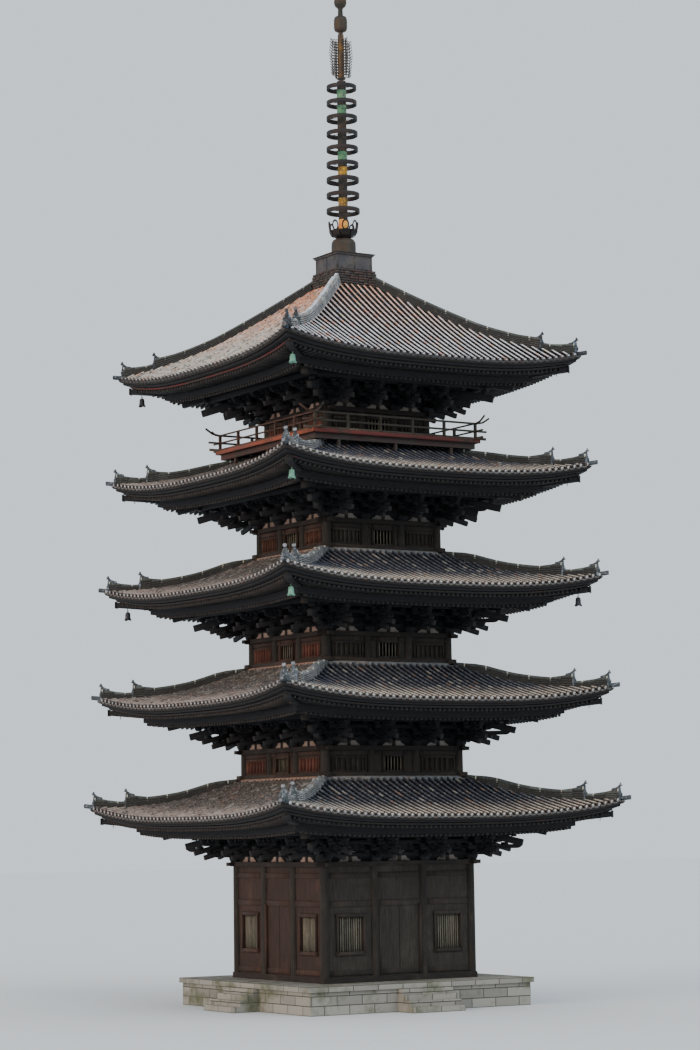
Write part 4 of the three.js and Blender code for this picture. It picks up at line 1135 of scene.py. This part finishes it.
# Brackets: three steps of arms and bearing blocks, tail rafters, wall beams and plaster
BIG_BLOCK = bearing_block(0.46, 0.3)
SMALL_BLOCK = bearing_block(0.24, 0.16)
SHORT_ARM = bracket_arm(1.0)
LONG_ARM = bracket_arm(1.5)
OUT_ARM = bracket_arm(1.3)
TAIL = beam(0.16, 0.22, 0.015, end_mark=1)
TIE = beam(0.14, 0.17, 0.012)
PLASTER_WING = plate_shape([(0, 0), (0.5, 0), (0.48, 0.06), (0.34, 0.13), (0.25, 0.26), (0.2, 0.44),
                            (0, 0.44)], 0.05, 0.01)
STEP_OUT, TIER, FIRST_TIER, BLOCK_RISE, SET_INSET = 0.56, 0.26, 0.2, 0.17, 0.12
LONG_REACH, SHORT_REACH, OUT_LENGTH = 0.64, 0.4, 1.3
SIDE_TAILS = ((2.0, 1.42), (1.5, 1.62))  # reach from the wall and drop below the eave
TIE_LEVELS = ((0, 0.22), (0, 0.74), (0, 1.26), (1, 0.74), (2, 1.0))  # step and height of each beam
PURLIN_OUT, PURLIN_DROP, PURLIN_RAFTER = 1.75, 0.13, 1.86
CORNER_TAIL_SHARE, CORNER_TAILS = 0.627, ((0, 1.78), (-1.05, 1.98))
WALL_FACE, WALL_BACK = 0.14, 0.38


def bracket_set(s, along):
    """One bracket set on a post line: places by shape, for the side that faces +X."""
    base = place(s.body - SET_INSET, along, s.plate_top)
    big, small, short, long, out = [base], [], [], [], []
    for tier in range(3):
        level = FIRST_TIER + TIER * tier
        reach = STEP_OUT * (tier + 1)
        out.append(base @ place(reach / 2 - 0.2, 0, level, 0.0, ((reach + 0.55) / OUT_LENGTH, 1, 1)))
        for step in range(tier + 1):
            x = STEP_OUT * step
            arms, width = (long, LONG_REACH) if (tier - step) % 2 else (short, SHORT_REACH)
            arms.append(base @ place(x, 0, level, QUARTER))
            small += [base @ place(x, side * width, level + BLOCK_RISE) for side in (-1, 0, 1)]
        small.append(base @ place(reach, 0, level + BLOCK_RISE))
    return big, small, short, long, out


def brackets(s):
    big, small, short, long, out = kinds = [], [], [], [], []
    for along in s.post_lines[1:3]:
        for kept, new in zip(kinds, bracket_set(s, along)):
            kept += new
    for kept, new in zip(kinds, bracket_set(s, 0.0)):
        for along in (s.corner_post, -s.corner_post):
            kept += [Matrix.Translation((0, along, 0)) @ spot for spot in new]
    tails = []
    for along in s.post_lines:
        for reach, drop in SIDE_TAILS:
            low = s.tip - EAVE_RISE - drop
            tails.append(span(Vector((s.body - 0.1, along, low + 0.26 * reach)),
                              Vector((s.body + reach, along, low))))
            small.append(place(s.body + reach - 0.28, along, low + 0.16))
    ties = []
    for step, level in TIE_LEVELS:
        x = s.body - SET_INSET + STEP_OUT * step
        ties.append(level_strip(x, -x - 0.25, x + 0.25, s.plate_top + level + 0.09))
    purlin = s.body + PURLIN_OUT
    ties.append(level_strip(purlin, -purlin - 0.3, purlin + 0.3,
                            s.rafter(s.body + PURLIN_RAFTER) - PURLIN_DROP, 1.5, 1.3))
    parts = [(shape, four_sides(places)) for shape, places in (
        (BIG_BLOCK, big), (SMALL_BLOCK, small), (SHORT_ARM, short), (LONG_ARM, long), (OUT_ARM, out),
        (TAIL, tails), (TIE, ties))]
    tail_end, start = s.tip_radius * CORNER_TAIL_SHARE, (s.body - 0.2) * ROOT2
    diagonal = []
    for further, drop in CORNER_TAILS:
        low = Vector((tail_end + further, 0, s.tip - drop))
        diagonal.append(span(Vector((start, 0, low.z + 0.25 * (low.x - start))), low, 1.45, 1.35))
    blocks = [place(tail_end - 0.4, 0, s.tip - 1.5), place(tail_end - 1.4, 0, s.tip - 1.55)]
    steps = [place(start + 0.9 * i + 0.45, 0, s.plate_top + FIRST_TIER + TIER * i, 0, (1 + 0.55 * i, 1.2, 1))
             for i in range(2)]
    parts += [(TAIL, four_corners(diagonal)), (SMALL_BLOCK, four_corners(blocks)),
              (OUT_ARM, four_corners(steps))]
    build(f"storey_{s.k}_bracket_sets", parts, [UNDER_TIMBER, RAFTER_END], hides=[f"storey_{s.k}_brackets"])

    face = s.body - WALL_FACE
    core = square_ring(s, face, s.body - WALL_BACK, s.plate_top + 0.001, s.rafter(face) - 0.01, 2)
    build(f"storey_{s.k}_bracket_wall", [core], [UNDER_TIMBER], tidy=True)
    middles = [sum(pair) / 2 for pair in zip(s.post_lines, s.post_lines[1:])]
    struts, blocks = ([place(s.body - 0.1, along, s.plate_top + level) for along in middles]
                      for level in (0.22, 0.44))
    post = taken(cube((0.1, 0.16, 0.46)))
    build(f"storey_{s.k}_band_struts", [(post, four_sides(struts)), (SMALL_BLOCK, four_sides(blocks))],
          [TIMBER])
    wings = [place(s.body - 0.11, along + 0.07 * side, s.plate_top + 0.005, QUARTER, (side, 1, 1))
             for along in middles for side in (1, -1)]
    build(f"storey_{s.k}_plaster_wings", [(PLASTER_WING, four_sides(wings))], [PLASTER], [LEFT_PLASTER],
          tidy=True)


# Walls: round posts, sill ends, panel frames, boards and window bars
GROUND_FLOOR, POST_DROP, WALL_DEPTH = 1.45, 1.06, 0.15
WINDOW_HALF, UPPER_BARS, GROUND_BARS, PANEL_PLANKS, PANEL_SHARE = 0.55, 6, 11, 6, 0.42
GROUND_WINDOW = (2.44, 4.06)
GROUND_TIES = ((1.62, 1.8), (4.55, 2.0), (5.75, 1.8))  # height, and how tall each is
DOOR_HALF, DOOR_TOP = 1.05, 4.5
PLANK, STRIP = beam(0.03, 1.0, 0.004), beam(0.07, 0.12, 0.01)
WINDOW_BAR, SILL = beam(0.05, 0.05, 0.01), beam(0.36, 0.27, 0.02)


def posts(s):
    low = (s.plate - POST_DROP if s.k > 1 else GROUND_FLOOR) - 0.005
    high = s.plate - 0.09
    post = turned_shape([(0.0, low), (POST + 0.012, low), (POST + 0.012, low + 0.05), (POST + 0.005, high),
                         (0.0, high)], 20)
    spots = [place(s.corner_post, along, 0) for along in s.post_lines[:3]]
    build(f"storey_{s.k}_posts", [(post, four_sides(spots))], [POST_WOOD], smooth=40)


def upper_bays(s, face, bays):
    """Boarded panels in the outer bays and a barred window in the middle one."""
    boards, frames, bars, bands = [], [], [], []
    top, bottom = s.plate - 0.42, s.plate - 1.0
    for index, (a, b) in enumerate(bays):
        bands.append(level_strip(face + 0.02, a, b, s.plate - 0.2, 1.0, 1.6))
        if index == 1:
            frames += [upright_strip(face + 0.04, y, bottom - 0.05, s.plate - 0.1)
                       for y in (-WINDOW_HALF, WINDOW_HALF)]
            frames += [level_strip(face + 0.04, -WINDOW_HALF, WINDOW_HALF, z)
                       for z in (bottom - 0.02, s.plate - 0.31)]
            bars += [upright_strip(face - 0.04, y, bottom, s.plate - 0.34)
                     for y in spread(-0.5, 0.5, UPPER_BARS)]
            continue
        middle, reach = (a + b) / 2, (b - a) * PANEL_SHARE
        plank_width = 2 * reach / PANEL_PLANKS * 0.93
        boards += [upright_strip(face + 0.02, y, bottom, top, 1.0, plank_width)
                   for y in spread(middle - reach, middle + reach, PANEL_PLANKS)]
        frames += [level_strip(face + 0.04, middle - reach - 0.08, middle + reach + 0.08, z)
                   for z in (top + 0.03, bottom)]
        frames += [upright_strip(face + 0.03, middle + side * (reach + 0.03), bottom, top)
                   for side in (-1, 1)]
    return boards, frames, bars, bands


def ground_bays(face, bays):
    """Barred windows beside the door, tie rails across the posts and jambs of the door."""
    frames, bars, bands = [], [], []
    low, high = GROUND_WINDOW
    for index in (0, 2):
        middle = sum(bays[index]) / 2
        bars += [upright_strip(face - 0.08, y, low + 0.06, high - 0.06, 1.3, 1.3)
                 for y in spread(middle - 0.62, middle + 0.62, GROUND_BARS)]
        frames += [level_strip(face + 0.04, middle - 0.75, middle + 0.75, z, 1.3, 1.3) for z in (low, high)]
        frames += [upright_strip(face + 0.04, middle + side * 0.68, low, high, 1.3) for side in (-1, 1)]
    for a, b in bays:
        bands += [level_strip(face + 0.02, a, b, z, 1.0, tall) for z, tall in GROUND_TIES]
    frames += [upright_strip(face + 0.04, y, GROUND_FLOOR, DOOR_TOP, 1.6, 1.4)
               for y in (-DOOR_HALF, DOOR_HALF)]
    return [], frames, bars, bands


def wall_details(s):
    bays = [(a + POST, b - POST) for a, b in zip(s.post_lines, s.post_lines[1:])]
    face = s.body - WALL_DEPTH
    boards, frames, bars, bands = upper_bays(s, face, bays) if s.k > 1 else ground_bays(face, bays)
    build(f"storey_{s.k}_wall_frames", [(STRIP, four_sides(frames)), (STRIP, four_sides(bands))],
          [PANEL_WOOD], [LEFT_PANEL])
    build(f"storey_{s.k}_window_bars", [(WINDOW_BAR, four_sides(bars))], [BAR_PAINT])
    if s.k > 1:
        build(f"storey_{s.k}_panel_boards", [(PLANK, four_sides(boards))], [WALL_BOARD],
              [RED_BOARD if s.k in RED_STOREYS else LEFT_BOARD])
        reach = s.body + 0.16
        sill = level_strip(s.body - 0.16, -reach, reach, s.plate - 1.18)
        build(f"storey_{s.k}_sill_beams", [(SILL, four_sides([sill]))], [TIMBER], [LEFT_TIMBER])


# Balcony: a foot rail under the railing and a board along the edge of the deck
FOOT_RAIL, FOOT_RAIL_HALF, FOOT_RAIL_HEIGHT = 4.2, 4.75, 25.05
DECK_EDGE, DECK_EDGE_HALF, DECK_EDGE_HEIGHT = 4.335, 4.36, 24.92


def balcony_trim():
    rail = level_strip(FOOT_RAIL, -FOOT_RAIL_HALF, FOOT_RAIL_HALF, FOOT_RAIL_HEIGHT)
    edge = level_strip(DECK_EDGE, -DECK_EDGE_HALF, DECK_EDGE_HALF, DECK_EDGE_HEIGHT)
    build("balcony_foot_rail", [(beam(0.11, 0.11, 0.015), four_sides([rail]))], [RAIL_WOOD], [LEFT_RAIL])
    build("balcony_edge_board", [(beam(0.05, 0.17, 0.01), four_sides([edge]))], [EDGE_RED], [LEFT_EDGE_RED])


# Bells: open below, with a scalloped mouth, at the corners that still have one
BELL_TOP, BELL_WALL, MOUTH = -0.07, 0.016, -0.41
BELL_PROFILE = [(0.0, 0.0), (0.05, 0.0), (0.09, -0.022), (0.112, -0.06), (0.118, -0.16), (0.128, -0.26),
                (0.15, -0.34), (0.172, -0.395)]
BELL_BAND = [(0.117, -0.2), (0.127, -0.205), (0.127, -0.225), (0.118, -0.23)]


def bell(s):
    outside = [(radius, BELL_TOP + height) for radius, height in BELL_PROFILE]
    inside = [(radius - BELL_WALL, height + (BELL_WALL if i < 4 else 0.0))
              for i, (radius, height) in enumerate(outside[::-1])]
    shell = turned_shape(outside + inside[:-1] + [(0.0, BELL_TOP - BELL_WALL)], 24)
    low = shell.points[:, 2] < MOUTH
    angles = np.arctan2(shell.points[:, 1], shell.points[:, 0])
    shell.points[low, 2] += 0.05 * np.abs(np.cos(2 * angles[low])) ** 3
    loop = rolled(taken(torus_ring(0.034, 0.011, 16, 6)), "X", shift=(0, 0, -0.03))
    parts = joined(shell, turned_shape(BELL_BAND, 24), loop)
    pin = Matrix.Translation((s.tip_radius - BELL_INSET, 0, s.tip - BELL_DROP))
    for corner in BELL_CORNERS[s.k]:
        turn = Matrix.Rotation(QUARTER * CORNERS.index(corner), 4, "Z") @ CORNER_TURN
        # The front-left bell shows its verdigris; the other bells take the dark finish as painted shade.
        build(f"bell_{s.k}_{corner}_cast", [(parts, [turn @ pin])],
              [BELL_METAL if corner == "front_left" else DARK_BELL], smooth=45,
              body=f"bell_{s.k}_{corner}_body", hides=[f"bell_{s.k}_{corner}"])


# Stack of flat tiles on the top roof, and the finial
STACK_FOOT, STACK_TOP, STACK_COURSES, STACK_TILES = 32.0, 32.94, 8, 9
STACK_FOOT_HALF, STACK_TOP_HALF, STACK_CORE = 1.15, 1.05, 2.02


def top_courses():
    """Uneven courses of flat tiles under the basin, each a little shorter than the one below."""
    tile = taken(cube((0.3, 1, 1)))
    core = cube((STACK_CORE, STACK_CORE, STACK_TOP - STACK_FOOT), (0, 0, (STACK_TOP + STACK_FOOT) / 2))
    core = marked(taken(core), 1)
    rise = (STACK_TOP - STACK_FOOT) / STACK_COURSES
    places = []
    for i in range(STACK_COURSES):
        half = STACK_FOOT_HALF + (STACK_TOP_HALF - STACK_FOOT_HALF) * i / (STACK_COURSES - 1)
        for y in spread(-half, half, STACK_TILES):
            out = half + rng.uniform(-0.03, 0.03)
            size = (1, 1.95 * half / STACK_TILES, rise * 0.8)
            places.append(place(out - 0.15, y, STACK_FOOT + rise * (i + 0.5), size=size))
    build("top_roof_courses", [(tile, four_sides(places)), core], [MOSSY_CLAY, RIDGE_GAP])


BASIN_FACE, BASIN_HALF, BASIN_FOOT, BASIN_RIM = 0.932, 0.924, 32.95, 33.63
SLAB_SIZE, SLAB_MIDDLE = (2.1, 2.1, 0.035), 33.7
BOWL_PROFILE = [(0.0, 33.7106), (0.56, 33.7106), (0.575, 33.7506), (0.56, 33.7906), (0.56, 34.22),
                (0.54, 34.36), (0.47, 34.47), (0.33, 34.53), (0.28, 34.545), (0.0, 34.548)]
DISH_PROFILE = [(0.2, 34.552), (0.34, 34.56), (0.46, 34.64), (0.56, 34.76), (0.62, 34.9), (0.58, 34.9),
                (0.5, 34.78), (0.4, 34.7), (0.22, 34.68)]
PETAL_OUTLINE = [(-0.17, 0.0), (0.17, 0.0), (0.2, 0.22), (0.12, 0.4), (0.0, 0.46), (-0.12, 0.4), (-0.2, 0.22)]
PETALS, PETAL_RADIUS, PETAL_FOOT, PETAL_LEAN = 8, 0.52, 34.66, 0.5
LOOP_RADIUS, LOOP_MIDDLE, LOOP_LEAN = 0.63, 35.08, 0.14
FIRST_RING, LAST_RING, RINGS = 35.81, 41.58, 9
LOW_RING_RADIUS, HIGH_RING_RADIUS, RING_WALL = 0.765, 0.688, 0.04
RING_PROFILE = ((-RING_WALL, -0.1), (-0.01, -0.105), (0.0, -0.09), (0.0, 0.09), (-0.01, 0.105),
                (-RING_WALL, 0.1), (-RING_WALL, -0.1))  # out from the radius, up from the middle
RING_LEVELS = [FIRST_RING + (LAST_RING - FIRST_RING) * i / (RINGS - 1) for i in range(RINGS)]
SPOKES, SPOKE_TURN, HUB = 4, 0.45, 0.2
SLEEVE_KINDS = ("gold", "dark", "gold", "green", "dark", "dark", "green", "green", "dark")
SLEEVE_TOP, SLEEVE_GAP, SLEEVE_LAP, SLEEVE_EDGE = 42.0, 0.1, 0.12, 0.015
LOTUS_SLEEVE, NECK_SLEEVE = (34.72, 35.42), (35.42, 35.7)


def basin_seams():
    seam = beam(0.05, 0.03, 0.006)
    spots = [upright_strip(BASIN_FACE, BASIN_HALF * share, BASIN_FOOT, BASIN_RIM)
             for share in (-0.97, 0, 0.97)]
    spots += [level_strip(BASIN_FACE, -BASIN_HALF, BASIN_HALF, z)
              for z in (BASIN_FOOT + 0.03, BASIN_RIM - 0.03)]
    build("basin_seams", [(seam, four_sides(spots))], [SHEET_METAL])
    build("basin_slab_edge", [taken(cube(SLAB_SIZE, (0, 0, SLAB_MIDDLE)))], [DARK_METAL])


def bowl_and_lotus():
    build("bowl_casting", [turned_shape(BOWL_PROFILE, 40)], [DARK_METAL], smooth=40, hides=["finial_bowl"])
    petal = plate_shape(PETAL_OUTLINE, 0.03, 0.008)
    loop = rolled(taken(torus_ring(0.15, 0.032, 24, 6)), "Y")
    petals, loops = [], []
    for i in range(PETALS):
        turn = Matrix.Rotation(math.tau / PETALS * (i + 0.5), 4, "Z")
        loops.append(turn @ Matrix.Translation((LOOP_RADIUS, 0, LOOP_MIDDLE))
                     @ Matrix.Rotation(LOOP_LEAN, 4, "Y") @ Matrix.Diagonal((1, 0.95, 1.45, 1)))
        petals.append(turn @ Matrix.Translation((PETAL_RADIUS, 0, PETAL_FOOT))
                      @ Matrix.Rotation(QUARTER, 4, "Z") @ Matrix.Rotation(PETAL_LEAN, 4, "X")
                      @ Matrix.Diagonal((1, 1, 0.6, 1)))
    build("lotus_casting", [turned_shape(DISH_PROFILE, 40), (petal, petals), (loop, loops)], [RING_METAL],
          smooth=40, hides=["finial_lotus"])


def nine_rings():
    rings, spokes = [], []
    for i, level in enumerate(RING_LEVELS):
        radius = LOW_RING_RADIUS + (HIGH_RING_RADIUS - LOW_RING_RADIUS) * i / (RINGS - 1)
        rings.append(turned_shape([(radius + out, level + up) for out, up in RING_PROFILE], 48))
        middle = Vector((0, 0, level))
        for j in range(SPOKES):
            turn = QUARTER * j + SPOKE_TURN * i
            way = Vector((math.cos(turn), math.sin(turn), 0))
            spokes.append(span(way * HUB + middle, way * (radius - 0.05) + middle))
    build("nine_rings", rings + [(beam(0.03, 0.03, 0.006), spokes)], [RING_METAL], smooth=40,
          hides=["finial_rings"])


def hub_sleeves():
    """Sleeves on the hub: dark ones under the rings, and others of different metals between them."""
    sleeves = {"green": [], "gold": [], "bright": [LOTUS_SLEEVE], "dark": []}
    for level, above, kind in zip(RING_LEVELS, RING_LEVELS[1:] + [SLEEVE_TOP], SLEEVE_KINDS):
        sleeves[kind].append((level + SLEEVE_GAP, above - SLEEVE_GAP))
        sleeves["dark"].append((level - SLEEVE_LAP, level + SLEEVE_LAP))
    sleeves["dark"].append(NECK_SLEEVE)
    finishes = {"green": GREEN_METAL, "gold": GOLD_METAL, "bright": BRIGHT_GOLD, "dark": DARK_METAL}
    for kind, heights in sleeves.items():
        radius = 0.21 if kind == "dark" else 0.216
        rim = radius - 0.012
        shapes = [turned_shape([(0.0, low), (rim, low), (radius, low + SLEEVE_EDGE),
                                (radius, high - SLEEVE_EDGE), (rim, high), (0.0, high)], 28)
                  for low, high in heights]
        build(f"hub_sleeves_{kind}", shapes, [finishes[kind]], smooth=40)


FLAME_FOOT, FLAME_HALF, FLAME_ROWS, FLAME_RISE = 42.08, 0.6, 13, 1.72
FLAME_TAPER, WIDEST_ROW, FLAME_INNER = 0.16, 7, 0.12
CURL_SPOTS, CURL_MARGIN = (0.2, 0.32, 0.43), 0.05
POLE_PROFILE = [(0.0, 42.0), (0.2, 42.0), (0.2, 42.06), (0.14, 42.1), (0.14, 44.08), (0.0, 44.08)]
JEWEL_PROFILE = [(0.0, 44.0806), (0.11, 44.0806), (0.11, 44.22), (0.2, 44.24), (0.27, 44.28), (0.305, 44.4),
                 (0.31, 44.6), (0.305, 44.8), (0.27, 44.92), (0.2, 44.96), (0.12, 44.99), (0.11, 45.3),
                 (0.13, 45.34), (0.24, 45.44), (0.285, 45.56), (0.29, 45.68), (0.25, 45.81), (0.15, 45.91),
                 (0.05, 45.96), (0.0, 46.0)]


def flame():
    """Four open-work plates: an upright, and rows of small hooked tongues out to a serrated edge."""
    sideways = Vector((0, 1, 0))
    curl = rolled(taken(torus_ring(0.062, 0.013, 12, 5)), "X")
    bars, curls, hooks, edge_line = [], [], [], []
    for i in range(FLAME_ROWS):
        z = FLAME_FOOT + FLAME_RISE * (i + 0.3) / FLAME_ROWS
        edge = FLAME_HALF * (1 - FLAME_TAPER * abs(i - WIDEST_ROW) / WIDEST_ROW)
        inner, root, tip = (Vector((x, 0, height)) for x, height in (
            (FLAME_INNER, z), (edge - 0.12, z + 0.03), (edge + 0.03, z + 0.13)))
        bars.append(span(inner, root, 0.6, 0.7, up=sideways))
        hooks += [span(root, tip, 0.6, 1.1, up=sideways),
                  span(tip, tip + Vector((-0.05, 0, 0.035)), 0.5, 0.8, up=sideways)]
        curls += [Matrix.Translation((x, 0, z + 0.07)) @ Matrix.Diagonal((0.95, 1, 1.1, 1))
                  for x in CURL_SPOTS if x < edge - CURL_MARGIN]
        edge_line.append(Vector((edge - 0.1, 0, z)))
    bars += [span(a, b, 0.8, 1.0, up=sideways) for a, b in zip(edge_line, edge_line[1:])]
    pole = marked(turned_shape(POLE_PROFILE, 20), 1)
    bar = beam(0.05, 0.03, 0.006)
    build("flame_open_work", [(bar, four_sides(bars + hooks)), (curl, four_sides(curls)), pole],
          [DARK_METAL, POLE_METAL], smooth=40, hides=["finial_flame"])
    build("jewel_castings", [turned_shape(JEWEL_PROFILE, 32)], [DARK_METAL], smooth=50,
          hides=["finial_jewels"])


for s in STOREYS:
    tile_roof(s)
    roof_bed(s)
    ridges(s)
    eave_timbers(s)
    hip_timbers(s)
    brackets(s)
    posts(s)
    wall_details(s)
    bell(s)
balcony_trim()
top_courses()
basin_seams()
bowl_and_lotus()
nine_rings()
hub_sleeves()
flame()


# Floor, light and camera
clear_selection()
bpy.ops.mesh.primitive_plane_add(size=400, location=(0, 0, -0.002))
floor = bpy.context.object
floor.name = "pale_floor"
floor_finish, _, floor_shader = new_finish("pale_floor_finish", 0.9)
floor_shader.inputs["Base Color"].default_value = tint(214, 217, 220)
floor.data.materials.append(floor_finish)


def soft_sun(name, azimuth, elevation, energy, colour, spread):
    light = bpy.data.lights.new(name, "SUN")
    light.energy, light.color, light.angle = energy, colour, math.radians(spread)
    lamp = bpy.data.objects.new(name, light)
    bpy.context.collection.objects.link(lamp)
    a, e = math.radians(azimuth), math.radians(elevation)
    towards = Vector((math.sin(a) * math.cos(e), -math.cos(a) * math.cos(e), math.sin(e)))
    lamp.rotation_euler = towards.to_track_quat("Z", "Y").to_euler()


soft_sun("warm_side_light", -82, 16, 1.7, (1.0, 0.74, 0.54), 25)
soft_sun("cool_front_light", 10, 42, 1.1, (0.9, 0.95, 1.0), 50)

world = bpy.data.worlds.new("pale_sky")
bpy.context.scene.world = world
world.use_nodes = True
world.node_tree.nodes["Background"].inputs[0].default_value = tint(198, 206, 212)
world.node_tree.nodes["Background"].inputs[1].default_value = 1.6

AZIMUTH, AIM, DISTANCE, EYE, PITCH, ROLL, LENS = -31.8, -31.85, 62.5, 3.855, 6.244, -0.817, 95.45
camera_data = bpy.data.cameras.new("camera")
camera_data.lens, camera_data.sensor_width = LENS, 36
camera_data.clip_end = 1000
camera = bpy.data.objects.new("camera", camera_data)
bpy.context.collection.objects.link(camera)
turn, aim, pitch = math.radians(AZIMUTH), math.radians(AIM), math.radians(PITCH)
camera.location = (DISTANCE * math.sin(turn), -DISTANCE * math.cos(turn), EYE)
forward = Vector((-math.sin(aim) * math.cos(pitch), math.cos(aim) * math.cos(pitch), math.sin(pitch)))
camera.rotation_mode = "QUATERNION"
level_view = forward.to_track_quat("-Z", "Y").to_matrix()
camera.rotation_quaternion = (level_view @ Matrix.Rotation(math.radians(ROLL), 3, "Z")).to_quaternion()
bpy.context.scene.camera = camera
